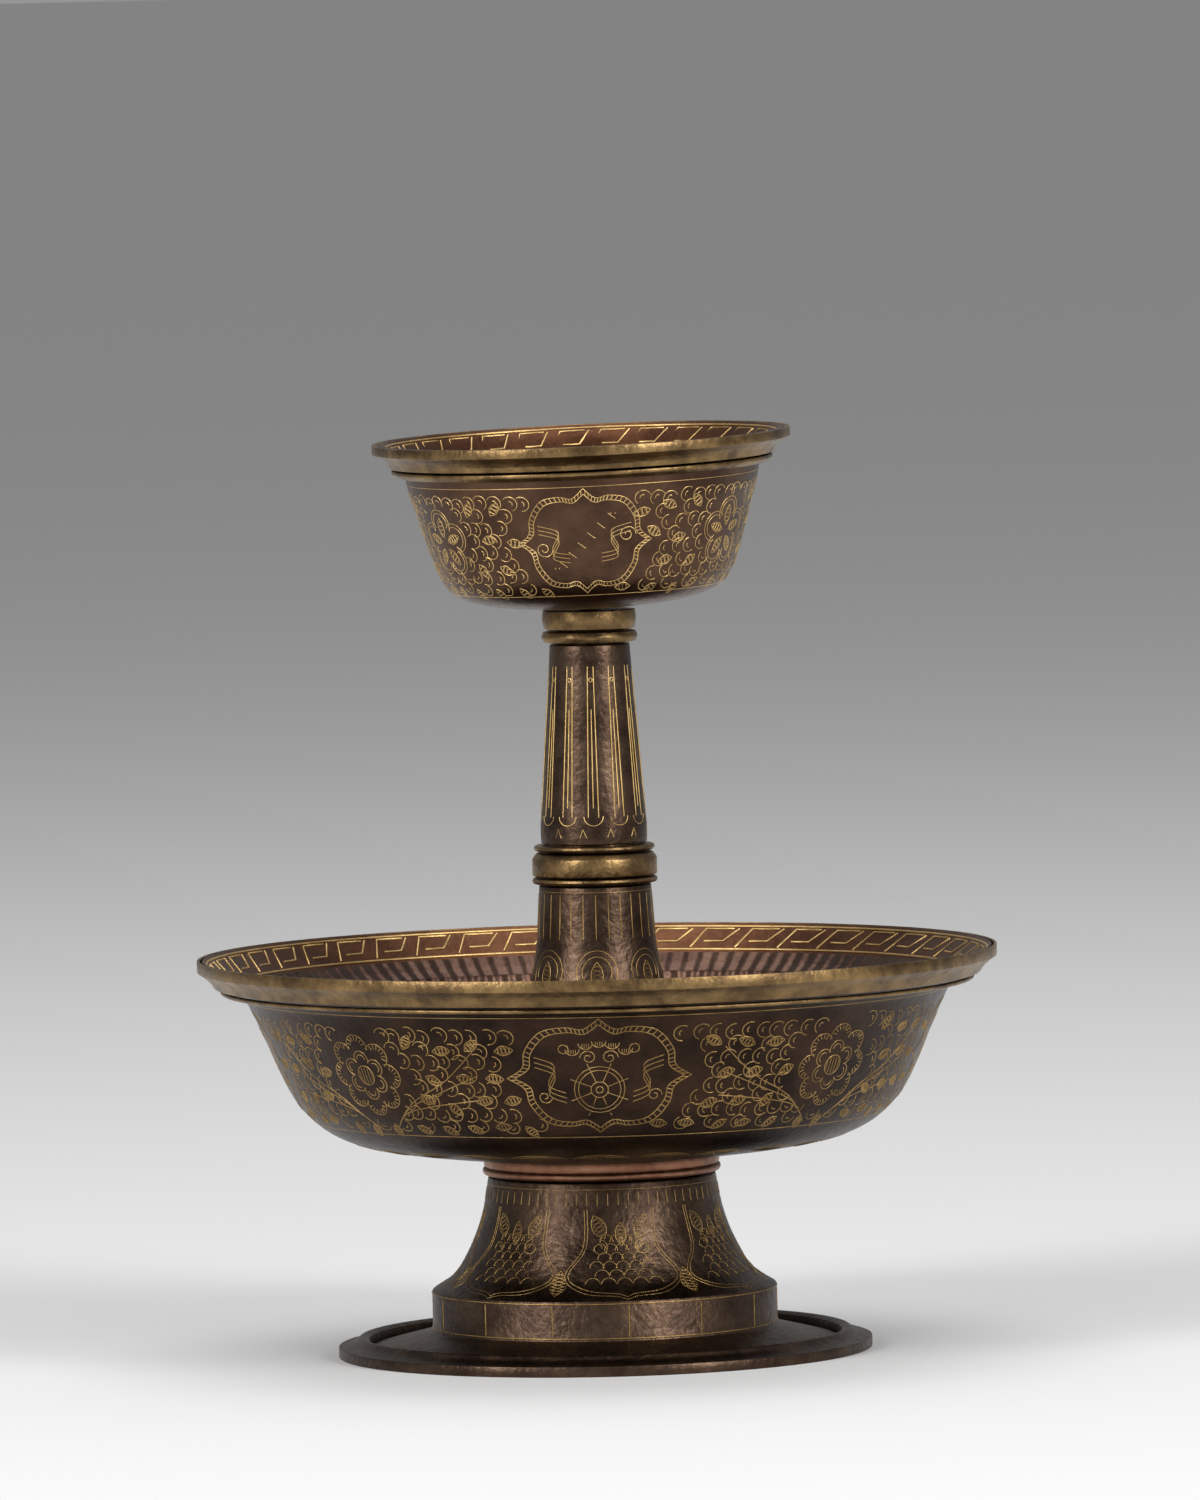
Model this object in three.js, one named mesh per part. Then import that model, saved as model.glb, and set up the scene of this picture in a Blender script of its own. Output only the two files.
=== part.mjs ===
// Ritual offering cup: a goblet standing loose in a footed dish.
// Millimetres, +Z up, origin at the centre of the foot's underside.
import * as THREE from "three";

// Fineness of the turned forms
const WIDE_SIDES = 32;
const SLIM_SIDES = 16;

// Clearance between pieces that seat on each other
const SEAT_GAP = 0.3;

// Base ring
const BASE_RADIUS = 43.5;
const BASE_SIDE_HEIGHT = 1.7;
const BASE_HEIGHT = 3.2;
const BASE_RING_WIDTH = 5.1;
const BASE_INNER_RADIUS = BASE_RADIUS - BASE_RING_WIDTH;

// Foot raised from sheet: sloping floor, drum and flared neck
const SHEET = 1.2;
const DRUM_RADIUS = 28.1;
const DRUM_BOTTOM = 3.7;
const DRUM_TOP = 10.6;
const FOOT_TOP_RADIUS = 18.5;
const FOOT_TOP = 28.9;

// Wire and band between foot and dish
const FOOT_BEAD_DIAMETER = 1.45;
const FOOT_BEAD_REACH = 19.4;
const FOOT_BAND_RADIUS = 19.2;
const FOOT_BAND_HEIGHT = 0.8;

// Dish
const DISH_RADIUS = 65.1;
const DISH_HEIGHT = 33.2;
const DISH_WALL = 1.3;
const DISH_FLOOR_RADIUS = 20;
const DISH_FLOOR = 1.7;
const DISH_LEDGE_BEAD_DIAMETER = 0.8;
const RIM_FACE_HEIGHT = 1.8;

// Goblet foot and stem
const GOBLET_FOOT_RADIUS = 17;
const GOBLET_FOOT_EDGE = 1.9;
const LOWER_STEM_HEIGHT = 42.1;
const LOWER_STEM_TOP_RADIUS = 9.1;
const STEM_WALL = 1.2;
const FOOT_PLATE_THICKNESS = 1.2;
const FOOT_PLATE_RISE = 2.7;
const KNOP_BEAD_RADIUS = 10.2;
const KNOP_BEAD_HEIGHT = 1.0;
const KNOP_BAND_RADIUS = 10.15;
const KNOP_BAND_HEIGHT = 3.7;
const SPIGOT_RADIUS = 7.3;
const SPIGOT_LENGTH = 4;
const UPPER_STEM_HEIGHT = 32.3;
const UPPER_STEM_RADIUS = 8.6;
const UPPER_STEM_TOP_RADIUS = 6.5;
const UPPER_STEM_WALL = 0.95;
const NECK_BEAD_RADIUS = 7.8;
const NECK_BEAD_HEIGHT = 1.9;
const NECK_COLLAR_RADIUS = 7.6;
const NECK_COLLAR_HEIGHT = 3.1;
const NECK_SPIGOT_RADIUS = 5.1;

// Cup, leaning as it stands in the picture
const CUP_RADIUS = 34;
const CUP_HEIGHT = 27.8;
const CUP_WALL = 1.2;
const CUP_RIM_FACE = 1.5;
const CUP_BELLY_INSET = 5.8;
const LEAN_LEFT = THREE.MathUtils.degToRad(1.4);
const LEAN_FORWARD = THREE.MathUtils.degToRad(1.2);

// Tie rod through the goblet
const ROD_RADIUS = 1.5;
const ROD_HOLE_RADIUS = ROD_RADIUS + 0.5;
const ROD_NUT_ACROSS = 6.4;
const ROD_NUT_HEIGHT = 1.7;
const ROD_END = 0.4;
const HEAD_RADIUS = 4.2;
const HEAD_HEIGHT = 1.6;

// Heights that follow from the sizes above
const FOOT_BEAD_BOTTOM = FOOT_TOP + SEAT_GAP;
const FOOT_BAND_BOTTOM = FOOT_BEAD_BOTTOM + FOOT_BEAD_DIAMETER + SEAT_GAP;
const DISH_BOTTOM = FOOT_BAND_BOTTOM + FOOT_BAND_HEIGHT + SEAT_GAP;
const GOBLET_BOTTOM = DISH_BOTTOM + DISH_FLOOR + SEAT_GAP;
const LOWER_STEM_TOP = GOBLET_BOTTOM + LOWER_STEM_HEIGHT;
const KNOP_LOWER_BEAD_BOTTOM = LOWER_STEM_TOP + SEAT_GAP;
const KNOP_BAND_BOTTOM = KNOP_LOWER_BEAD_BOTTOM + KNOP_BEAD_HEIGHT + SEAT_GAP;
const KNOP_BAND_TOP = KNOP_BAND_BOTTOM + KNOP_BAND_HEIGHT;
const KNOP_UPPER_BEAD_BOTTOM = KNOP_BAND_TOP + SEAT_GAP;
const UPPER_STEM_BOTTOM = KNOP_UPPER_BEAD_BOTTOM + KNOP_BEAD_HEIGHT + SEAT_GAP;
const UPPER_STEM_TOP = UPPER_STEM_BOTTOM + UPPER_STEM_HEIGHT;
const NECK_BEAD_BOTTOM = UPPER_STEM_TOP + SEAT_GAP;
const NECK_COLLAR_BOTTOM = NECK_BEAD_BOTTOM + NECK_BEAD_HEIGHT + SEAT_GAP;
const NECK_COLLAR_TOP = NECK_COLLAR_BOTTOM + NECK_COLLAR_HEIGHT;
const LEAN_DROP = NECK_COLLAR_RADIUS * Math.hypot(Math.sin(LEAN_LEFT), Math.sin(LEAN_FORWARD));
const CUP_BOTTOM = NECK_COLLAR_TOP + SEAT_GAP + LEAN_DROP;
const FOOT_PLATE_BOTTOM = GOBLET_BOTTOM + FOOT_PLATE_RISE;

// Metals
const darkCopper = { color: 0x2b1d17, roughness: 0.42, metalness: 0.9 };
const brownCopper = { color: 0x5a3a28, roughness: 0.38, metalness: 0.9 };
const brass = { color: 0x9a7a42, roughness: 0.36, metalness: 1.0 };
const redCopper = { color: 0x7d4a33, roughness: 0.4, metalness: 1.0 };
const iron = { color: 0x3a3735, roughness: 0.6, metalness: 0.8 };

const point = (radius, height) => new THREE.Vector2(radius, height);

// A solid turned about +Z from an outline of radius and height, counter-clockwise
function turned(outline, sides) {
  const closed = outline.slice();
  const first = outline[0];
  const last = outline[outline.length - 1];
  if (first.x > 0 || last.x > 0) closed.push(first.clone());
  const geometry = new THREE.LatheGeometry(closed, sides);
  geometry.rotateX(Math.PI / 2);
  return geometry;
}

function named(name, geometry, metal) {
  const mesh = new THREE.Mesh(geometry, new THREE.MeshStandardMaterial(metal));
  mesh.name = name;
  return mesh;
}

// Points of a round wire's section, or of any oval one
function ovalSection(centreRadius, centreHeight, halfWidth, halfHeight, count) {
  const points = [];
  for (let i = 0; i < count; i += 1) {
    const angle = (2 * Math.PI * (i + 0.5)) / count;
    points.push(point(
      centreRadius + halfWidth * Math.cos(angle),
      centreHeight + halfHeight * Math.sin(angle),
    ));
  }
  return points;
}

// A smooth run of points through a few given ones
function through(points, count) {
  const curve = new THREE.SplineCurve(points);
  return curve.getPoints(count);
}

// Shifts a run of outline points towards the axis and upwards, and turns its order round
function backWall(points, inward, upward) {
  return points.map((p) => point(p.x - inward, p.y + upward)).reverse();
}

// Flat-bottomed ring with a hollow cove above its vertical side
function baseRing() {
  const innerTop = BASE_HEIGHT - 0.6;
  const crest = (BASE_INNER_RADIUS + BASE_RADIUS) / 2 - 1.2;
  const cove = new THREE.QuadraticBezierCurve(
    point(BASE_RADIUS, BASE_SIDE_HEIGHT),
    point(crest + 1.3, BASE_SIDE_HEIGHT + 0.1),
    point(crest, BASE_HEIGHT),
  ).getPoints(4);
  const outline = [
    point(BASE_INNER_RADIUS, 0),
    point(BASE_RADIUS, 0),
    ...cove,
    point(BASE_INNER_RADIUS, innerTop),
  ];
  return named("base_ring", turned(outline, WIDE_SIDES), brownCopper);
}

// One raised sheet: sloping floor inside the ring, drum and concave flare up to the dish
function footShell() {
  const edge = BASE_INNER_RADIUS - SEAT_GAP;
  const flare = new THREE.CubicBezierCurve(
    point(DRUM_RADIUS - 0.1, DRUM_TOP),
    point(22.3, 14.2),
    point(19.7, 20.5),
    point(FOOT_TOP_RADIUS, FOOT_TOP),
  ).getPoints(7);
  const innerFlare = flare.slice(1).map((p) => point(p.x - SHEET, Math.min(p.y - 0.4, FOOT_TOP)));
  innerFlare[innerFlare.length - 1].y = FOOT_TOP;
  const outline = [
    point(DRUM_RADIUS - SHEET, SEAT_GAP),
    point(edge, SEAT_GAP),
    point(edge, SEAT_GAP + SHEET),
    point(DRUM_RADIUS + 0.8, DRUM_BOTTOM),
    point(DRUM_RADIUS, DRUM_BOTTOM + 0.5),
    point(DRUM_RADIUS, DRUM_TOP - 0.3),
    ...flare,
    ...innerFlare.reverse(),
    point(DRUM_RADIUS - SHEET - 0.4, DRUM_TOP - SHEET),
    point(DRUM_RADIUS - SHEET, DRUM_TOP - SHEET - 0.6),
  ];
  return named("foot_shell", turned(outline, WIDE_SIDES), brownCopper);
}

function footBead() {
  const half = FOOT_BEAD_DIAMETER / 2;
  const section = ovalSection(FOOT_BEAD_REACH - half, FOOT_BEAD_BOTTOM + half, half, half, 8);
  return named("foot_bead", turned(section, WIDE_SIDES), redCopper);
}

function footNeckBand() {
  const inner = FOOT_BAND_RADIUS - 2;
  const outline = [
    point(inner, FOOT_BAND_BOTTOM),
    point(FOOT_BAND_RADIUS, FOOT_BAND_BOTTOM),
    point(FOOT_BAND_RADIUS, FOOT_BAND_BOTTOM + FOOT_BAND_HEIGHT),
    point(inner, FOOT_BAND_BOTTOM + FOOT_BAND_HEIGHT),
  ];
  return named("foot_neck_band", turned(outline, WIDE_SIDES), redCopper);
}

// Outside of the dish from its seat on the foot to the turned-out lip
function dishOutside() {
  const low = DISH_BOTTOM;
  const high = DISH_BOTTOM + DISH_HEIGHT;
  const belly = through([
    point(FOOT_BAND_RADIUS, low),
    point(DISH_RADIUS - 29.7, low + 2),
    point(DISH_RADIUS - 21.8, low + 4.4),
    point(DISH_RADIUS - 16.5, low + 8.8),
    point(DISH_RADIUS - 13.6, low + 13.9),
    point(DISH_RADIUS - 10.6, low + 20.7),
    point(DISH_RADIUS - 8, low + 26.2),
  ], 12);
  const lip = [
    point(DISH_RADIUS - 6.7, high - 6.1),
    point(DISH_RADIUS - 4.2, high - 4.3),
    point(DISH_RADIUS - 2.3, high - 2.4),
    point(DISH_RADIUS - 0.8, high - 0.3),
  ];
  return belly.concat(lip);
}

// Inside surface: flat floor for the goblet, wall of even thickness and the broad sloping lip
function dishBowl() {
  const outside = dishOutside();
  const floor = DISH_BOTTOM + DISH_FLOOR;
  const inside = outside
    .filter((p) => p.x > DISH_FLOOR_RADIUS + 8)
    .map((p) => point(p.x - DISH_WALL * Math.min(1, (p.y - DISH_BOTTOM) / 9), p.y + 0.5));
  inside.forEach((p) => {
    const steep = Math.max(0, 1 - (p.y - DISH_BOTTOM) / 9);
    p.y += steep * (DISH_WALL - 0.4);
  });
  inside[inside.length - 1].y = DISH_BOTTOM + DISH_HEIGHT;
  const outline = [
    point(0, DISH_BOTTOM),
    ...outside,
    point(DISH_RADIUS - 0.8, DISH_BOTTOM + DISH_HEIGHT),
    ...inside.reverse(),
    point(DISH_FLOOR_RADIUS, floor),
    point(0, floor),
  ];
  return named("dish_bowl", turned(outline, WIDE_SIDES), darkCopper);
}

// Edge band of the dish: upright face, arris and cove, seated on the lip
function dishRimEdge() {
  const high = DISH_BOTTOM + DISH_HEIGHT;
  const outline = [
    point(DISH_RADIUS - 3.35, high - 4.4),
    point(DISH_RADIUS - 2.7, high - 4.4),
    point(DISH_RADIUS - 1.5, high - 2.9),
    point(DISH_RADIUS, high - RIM_FACE_HEIGHT),
    point(DISH_RADIUS, high),
    point(DISH_RADIUS - 0.45, high),
    point(DISH_RADIUS - 0.45, high - 0.5),
    point(DISH_RADIUS - 1.65, high - 2.4),
  ];
  return named("dish_rim_edge", turned(outline, WIDE_SIDES), brass);
}

function dishLedgeBead() {
  const half = DISH_LEDGE_BEAD_DIAMETER / 2;
  const height = DISH_BOTTOM + DISH_HEIGHT - 5.15;
  const section = ovalSection(DISH_RADIUS - 4.1, height, half, half, 6);
  return named("dish_ledge_bead", turned(section, WIDE_SIDES), brass);
}

// Flared foot and lower stem of the goblet, one hollow piece
function lowerStem() {
  const low = GOBLET_BOTTOM;
  const shoulder = low + GOBLET_FOOT_EDGE;
  const flare = through([
    point(GOBLET_FOOT_RADIUS - 0.6, shoulder + 0.6),
    point(14.5, low + 8),
    point(12.4, low + 18),
    point(10.9, low + 26.4),
    point(9.7, low + 32.8),
    point(LOWER_STEM_TOP_RADIUS, LOWER_STEM_TOP),
  ], 9);
  const foot = GOBLET_FOOT_RADIUS - STEM_WALL;
  const outline = [
    point(foot, low),
    point(GOBLET_FOOT_RADIUS, low),
    point(GOBLET_FOOT_RADIUS, shoulder),
    ...flare,
    ...backWall(flare.slice(1), STEM_WALL, 0),
    point(foot, shoulder - 0.4),
  ];
  return named("lower_stem", turned(outline, SLIM_SIDES), brownCopper);
}

function footPlate() {
  const outer = 14;
  const outline = [
    point(ROD_HOLE_RADIUS, FOOT_PLATE_BOTTOM),
    point(outer, FOOT_PLATE_BOTTOM),
    point(outer - 0.2, FOOT_PLATE_BOTTOM + FOOT_PLATE_THICKNESS),
    point(ROD_HOLE_RADIUS, FOOT_PLATE_BOTTOM + FOOT_PLATE_THICKNESS),
  ];
  return named("foot_plate", turned(outline, SLIM_SIDES), redCopper);
}

// A plain bead ring of the knop, seated on the band's spigot
function knopBead(name, bottom, radius) {
  const hole = SPIGOT_RADIUS + SEAT_GAP;
  const half = KNOP_BEAD_HEIGHT / 2;
  const outline = [
    point(hole, bottom),
    point(radius - 0.3, bottom),
    point(radius, bottom + half * 0.6),
    point(radius, bottom + half * 1.4),
    point(radius - 0.3, bottom + KNOP_BEAD_HEIGHT),
    point(hole, bottom + KNOP_BEAD_HEIGHT),
  ];
  return named(name, turned(outline, SLIM_SIDES), brass);
}

// Band of the knop with a spigot into each half of the stem and a hole for the rod
function knopBand() {
  const outline = [
    point(ROD_HOLE_RADIUS, KNOP_BAND_BOTTOM - SPIGOT_LENGTH),
    point(SPIGOT_RADIUS, KNOP_BAND_BOTTOM - SPIGOT_LENGTH),
    point(SPIGOT_RADIUS, KNOP_BAND_BOTTOM),
    point(KNOP_BAND_RADIUS, KNOP_BAND_BOTTOM),
    point(KNOP_BAND_RADIUS, KNOP_BAND_TOP - 0.9),
    point(KNOP_BAND_RADIUS - 0.7, KNOP_BAND_TOP),
    point(SPIGOT_RADIUS, KNOP_BAND_TOP),
    point(SPIGOT_RADIUS, KNOP_BAND_TOP + SPIGOT_LENGTH),
    point(ROD_HOLE_RADIUS, KNOP_BAND_TOP + SPIGOT_LENGTH),
  ];
  return named("knop_band", turned(outline, SLIM_SIDES), brass);
}

function upperStem() {
  const low = UPPER_STEM_BOTTOM;
  const top = UPPER_STEM_TOP;
  const outside = through([
    point(UPPER_STEM_RADIUS, low),
    point(UPPER_STEM_RADIUS, low + 3.6),
    point(7.57, low + 15.3),
    point(UPPER_STEM_TOP_RADIUS, top),
  ], 6);
  const mouth = SPIGOT_RADIUS + SEAT_GAP;
  const socket = low + SPIGOT_LENGTH - 0.6;
  const outline = [
    point(mouth, low),
    ...outside,
    ...backWall(outside.filter((p) => p.y > socket), UPPER_STEM_WALL, 0),
    point(mouth, socket),
  ];
  return named("upper_stem", turned(outline, SLIM_SIDES), brownCopper);
}

function neckBead() {
  const hole = NECK_SPIGOT_RADIUS + SEAT_GAP;
  const top = NECK_BEAD_BOTTOM + NECK_BEAD_HEIGHT;
  const outline = [
    point(hole, NECK_BEAD_BOTTOM),
    point(NECK_BEAD_RADIUS - 0.7, NECK_BEAD_BOTTOM),
    point(NECK_BEAD_RADIUS, NECK_BEAD_BOTTOM + 0.6),
    point(NECK_BEAD_RADIUS, top - 0.6),
    point(NECK_BEAD_RADIUS - 0.7, top),
    point(hole, top),
  ];
  return named("neck_bead", turned(outline, SLIM_SIDES), brass);
}

// Collar that carries the cup, with a spigot down into the stem
function neckCollar() {
  const outline = [
    point(ROD_HOLE_RADIUS, NECK_BEAD_BOTTOM - SPIGOT_LENGTH),
    point(NECK_SPIGOT_RADIUS, NECK_BEAD_BOTTOM - SPIGOT_LENGTH),
    point(NECK_SPIGOT_RADIUS, NECK_COLLAR_BOTTOM),
    point(NECK_COLLAR_RADIUS - 0.2, NECK_COLLAR_BOTTOM),
    point(NECK_COLLAR_RADIUS, NECK_COLLAR_BOTTOM + 1.4),
    point(NECK_COLLAR_RADIUS, NECK_COLLAR_TOP),
    point(ROD_HOLE_RADIUS, NECK_COLLAR_TOP),
  ];
  return named("neck_collar", turned(outline, SLIM_SIDES), brass);
}

// Outside of the cup in its own leaning frame, from the hole in its floor to the lip
function cupOutside() {
  const high = CUP_HEIGHT;
  const belly = through([
    point(CUP_RADIUS - 23.8, 0.15),
    point(CUP_RADIUS - 18, 0.8),
    point(CUP_RADIUS - 13.4, 2.2),
    point(CUP_RADIUS - 10.6, 4.8),
    point(CUP_RADIUS - 8.6, 10),
    point(CUP_RADIUS - 6.8, 16.2),
    point(CUP_RADIUS - CUP_BELLY_INSET, high - 8.6),
    point(CUP_RADIUS - 5.3, high - 5.6),
  ], 12);
  const lip = [
    point(CUP_RADIUS - 4.4, high - 4),
    point(CUP_RADIUS - 3.1, high - 2.3),
    point(CUP_RADIUS - 1.9, high - 1),
    point(CUP_RADIUS - 1.1, high),
  ];
  return belly.concat(lip);
}

function cupBowl() {
  const outside = cupOutside();
  const inside = outside
    .slice(1)
    .map((p) => point(p.x - CUP_WALL * Math.min(1, 0.4 + p.y / 12), p.y + CUP_WALL * Math.max(0, 1 - p.y / 12)));
  inside[inside.length - 1].y = CUP_HEIGHT;
  const outline = [
    point(ROD_HOLE_RADIUS, 0),
    ...outside,
    ...inside.reverse(),
    point(8, CUP_WALL),
    point(ROD_HOLE_RADIUS, CUP_WALL),
  ];
  return named("cup_bowl", turned(outline, WIDE_SIDES), brownCopper);
}

function cupRimBand() {
  const high = CUP_HEIGHT;
  const outline = [
    point(CUP_RADIUS - 3.8, high - 3.9),
    point(CUP_RADIUS - 2.75, high - 3.9),
    point(CUP_RADIUS - 1.9, high - 2.6),
    point(CUP_RADIUS, high - CUP_RIM_FACE),
    point(CUP_RADIUS, high),
    point(CUP_RADIUS - 0.6, high),
    point(CUP_RADIUS - 1.35, high - 0.95),
    point(CUP_RADIUS - 2.6, high - 2.3),
  ];
  return named("cup_rim_band", turned(outline, WIDE_SIDES), brass);
}

function cupLedgeBead() {
  const high = CUP_HEIGHT;
  const outline = [
    point(CUP_RADIUS - 4.8, high - 5.6),
    point(CUP_RADIUS - 3.7, high - 5.4),
    point(CUP_RADIUS - 3, high - 4.8),
    point(CUP_RADIUS - 3, high - 4.25),
    point(CUP_RADIUS - 4.05, high - 4.25),
  ];
  return named("cup_ledge_bead", turned(outline, WIDE_SIDES), brass);
}

// Domed rivet head on the cup's floor, over the end of the rod
function rodHead() {
  const low = CUP_WALL + SEAT_GAP;
  const dome = new THREE.QuadraticBezierCurve(
    point(HEAD_RADIUS, low),
    point(HEAD_RADIUS * 0.8, low + HEAD_HEIGHT),
    point(0, low + HEAD_HEIGHT),
  ).getPoints(4);
  return named("tie_rod_head", turned([point(0, low), ...dome], SLIM_SIDES), brass);
}

function tieRod() {
  const bottom = GOBLET_BOTTOM + ROD_END;
  const top = CUP_BOTTOM + CUP_WALL;
  const outline = [
    point(0, bottom),
    point(ROD_RADIUS, bottom),
    point(ROD_RADIUS, top),
    point(0, top),
  ];
  return named("tie_rod", turned(outline, SLIM_SIDES), iron);
}

// Six-sided nut under the plate
function rodNut() {
  const top = FOOT_PLATE_BOTTOM - SEAT_GAP;
  const radius = ROD_NUT_ACROSS / Math.sqrt(3);
  const shape = new THREE.Shape();
  for (let i = 0; i < 6; i += 1) {
    const angle = (Math.PI * i) / 3;
    const x = radius * Math.cos(angle);
    const y = radius * Math.sin(angle);
    if (i === 0) shape.moveTo(x, y);
    else shape.lineTo(x, y);
  }
  shape.closePath();
  const hole = new THREE.Path();
  hole.absarc(0, 0, ROD_RADIUS + SEAT_GAP, 0, 2 * Math.PI, true);
  shape.holes.push(hole);
  const settings = { depth: ROD_NUT_HEIGHT, bevelEnabled: false, curveSegments: 10 };
  const geometry = new THREE.ExtrudeGeometry(shape, settings);
  geometry.translate(0, 0, top - ROD_NUT_HEIGHT);
  return named("tie_rod_nut", geometry, iron);
}

function dish() {
  const group = new THREE.Group();
  group.add(baseRing(), footShell(), footBead(), footNeckBand());
  group.add(dishBowl(), dishRimEdge(), dishLedgeBead());
  return group;
}

// The cup leans on its collar, as a hand-made goblet does
function leaningCup() {
  const group = new THREE.Group();
  group.position.z = CUP_BOTTOM;
  group.rotation.set(LEAN_FORWARD, -LEAN_LEFT, 0);
  group.add(cupBowl(), cupRimBand(), cupLedgeBead(), rodHead());
  return group;
}

function goblet() {
  const group = new THREE.Group();
  group.add(lowerStem(), footPlate());
  group.add(knopBead("knop_lower_bead", KNOP_LOWER_BEAD_BOTTOM, KNOP_BEAD_RADIUS));
  group.add(knopBand());
  group.add(knopBead("knop_upper_bead", KNOP_UPPER_BEAD_BOTTOM, KNOP_BEAD_RADIUS - 0.36));
  group.add(upperStem(), neckBead(), neckCollar(), leaningCup(), tieRod(), rodNut());
  return group;
}

const offeringCup = new THREE.Group();
offeringCup.add(dish(), goblet());

export default offeringCup;
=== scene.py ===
# %% [markdown]
# A ritual offering cup: a goblet that stands loose in a footed dish. Both are raised from copper
# sheet, darkened, and covered with chased lines that show bright metal. Sizes could be typed here
# again, but two sets of numbers drift apart. So the imported model is loaded first, and it gives
# the places and heights.

import math
import random

import bmesh
import bpy
from mathutils import Matrix, Vector


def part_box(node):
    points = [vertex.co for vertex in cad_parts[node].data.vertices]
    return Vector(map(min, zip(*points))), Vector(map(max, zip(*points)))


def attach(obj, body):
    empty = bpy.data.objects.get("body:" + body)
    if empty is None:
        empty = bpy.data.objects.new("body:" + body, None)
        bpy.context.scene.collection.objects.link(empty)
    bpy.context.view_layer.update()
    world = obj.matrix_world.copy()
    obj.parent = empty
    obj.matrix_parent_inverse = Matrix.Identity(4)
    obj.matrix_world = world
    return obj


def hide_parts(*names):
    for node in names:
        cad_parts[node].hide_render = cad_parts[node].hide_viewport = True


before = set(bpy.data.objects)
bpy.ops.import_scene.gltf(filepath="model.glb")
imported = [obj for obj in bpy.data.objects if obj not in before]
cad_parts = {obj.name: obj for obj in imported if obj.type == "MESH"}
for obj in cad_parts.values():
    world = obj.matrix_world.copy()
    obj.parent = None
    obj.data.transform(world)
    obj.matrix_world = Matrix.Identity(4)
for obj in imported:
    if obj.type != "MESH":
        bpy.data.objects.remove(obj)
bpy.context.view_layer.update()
MM = 0.001
print("frame loaded:", len(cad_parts), "nodes")


def low_of(node):
    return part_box(node)[0].z / MM


def high_of(node):
    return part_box(node)[1].z / MM


def middle_of(node):
    return (low_of(node) + high_of(node)) / 2


# %% [markdown]
# The photograph was taken from far off and a little above the dish, and leans by a degree. A near
# camera would spread the dish and shrink the cup, so this one stands over two metres away with a
# long lens, and is rolled by the same degree.

# %% Camera
CAMERA_DISTANCE = 2.276
CAMERA_HEIGHT = 0.227
LENS = 336.4
SENSOR_WIDTH = 36
FARTHEST_SEEN = 500
AIM = Vector((0.0013, 0, 0.098))
ROLL = math.radians(-1.33)

camera_data = bpy.data.cameras.new("camera")
camera_data.lens = LENS
camera_data.sensor_width = SENSOR_WIDTH
camera_data.clip_end = FARTHEST_SEEN
camera = bpy.data.objects.new("camera", camera_data)
camera.location = (AIM.x, -CAMERA_DISTANCE, CAMERA_HEIGHT)
look = (AIM - camera.location).to_track_quat("-Z", "Y").to_matrix().to_4x4()
camera.rotation_euler = (look @ Matrix.Rotation(ROLL, 4, "Z")).to_euler()
bpy.context.scene.collection.objects.link(camera)
bpy.context.scene.camera = camera
bpy.context.scene.view_settings.view_transform = "Standard"
print("camera at", tuple(round(v, 3) for v in camera.location))

# %% [markdown]
# Two effects on this metal, age and hammer marks, deserve a name of their own. Each becomes a
# shader group, built once and placed in the materials. Two helpers keep such trees short to
# read: one declares a group's socket, and one adds a Math node with what feeds it.

# %% Helpers for shader groups
def new_socket(tree, name, kind, way, value=None):
    socket = tree.interface.new_socket(name=name, in_out=way, socket_type=kind)
    if value is not None:
        socket.default_value = value


def math_node(tree, operation, *sources):
    """The result of one Math node. A source is a socket, or a number with a decimal point."""
    node = tree.nodes.new("ShaderNodeMath")
    node.operation = operation
    for socket, source in zip(node.inputs, sources):
        if isinstance(source, float):
            socket.default_value = source
        else:
            tree.links.new(source, socket)
    return node.outputs[0]


print("helpers for shader groups ready")

# %% [markdown]
# Aged copper is never one colour: rubbed places are lighter and redder, and the sheen changes
# from place to place. An image could be painted for each piece, but noise in space has no seam
# and suits any shape. This group mixes two tones by cloudy noise, adds fine grain, and gives a
# roughness and a height, so each metal only states its own tones.

# %% Shader group for aged metal
CLOUD_DETAIL = 6
CLOUD_ROUGHNESS = 0.65
WORN_FROM = 0.38
WORN_FULLY = 0.72
GRAIN_SCALE = 900
GRAIN_DETAIL = 3


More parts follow.
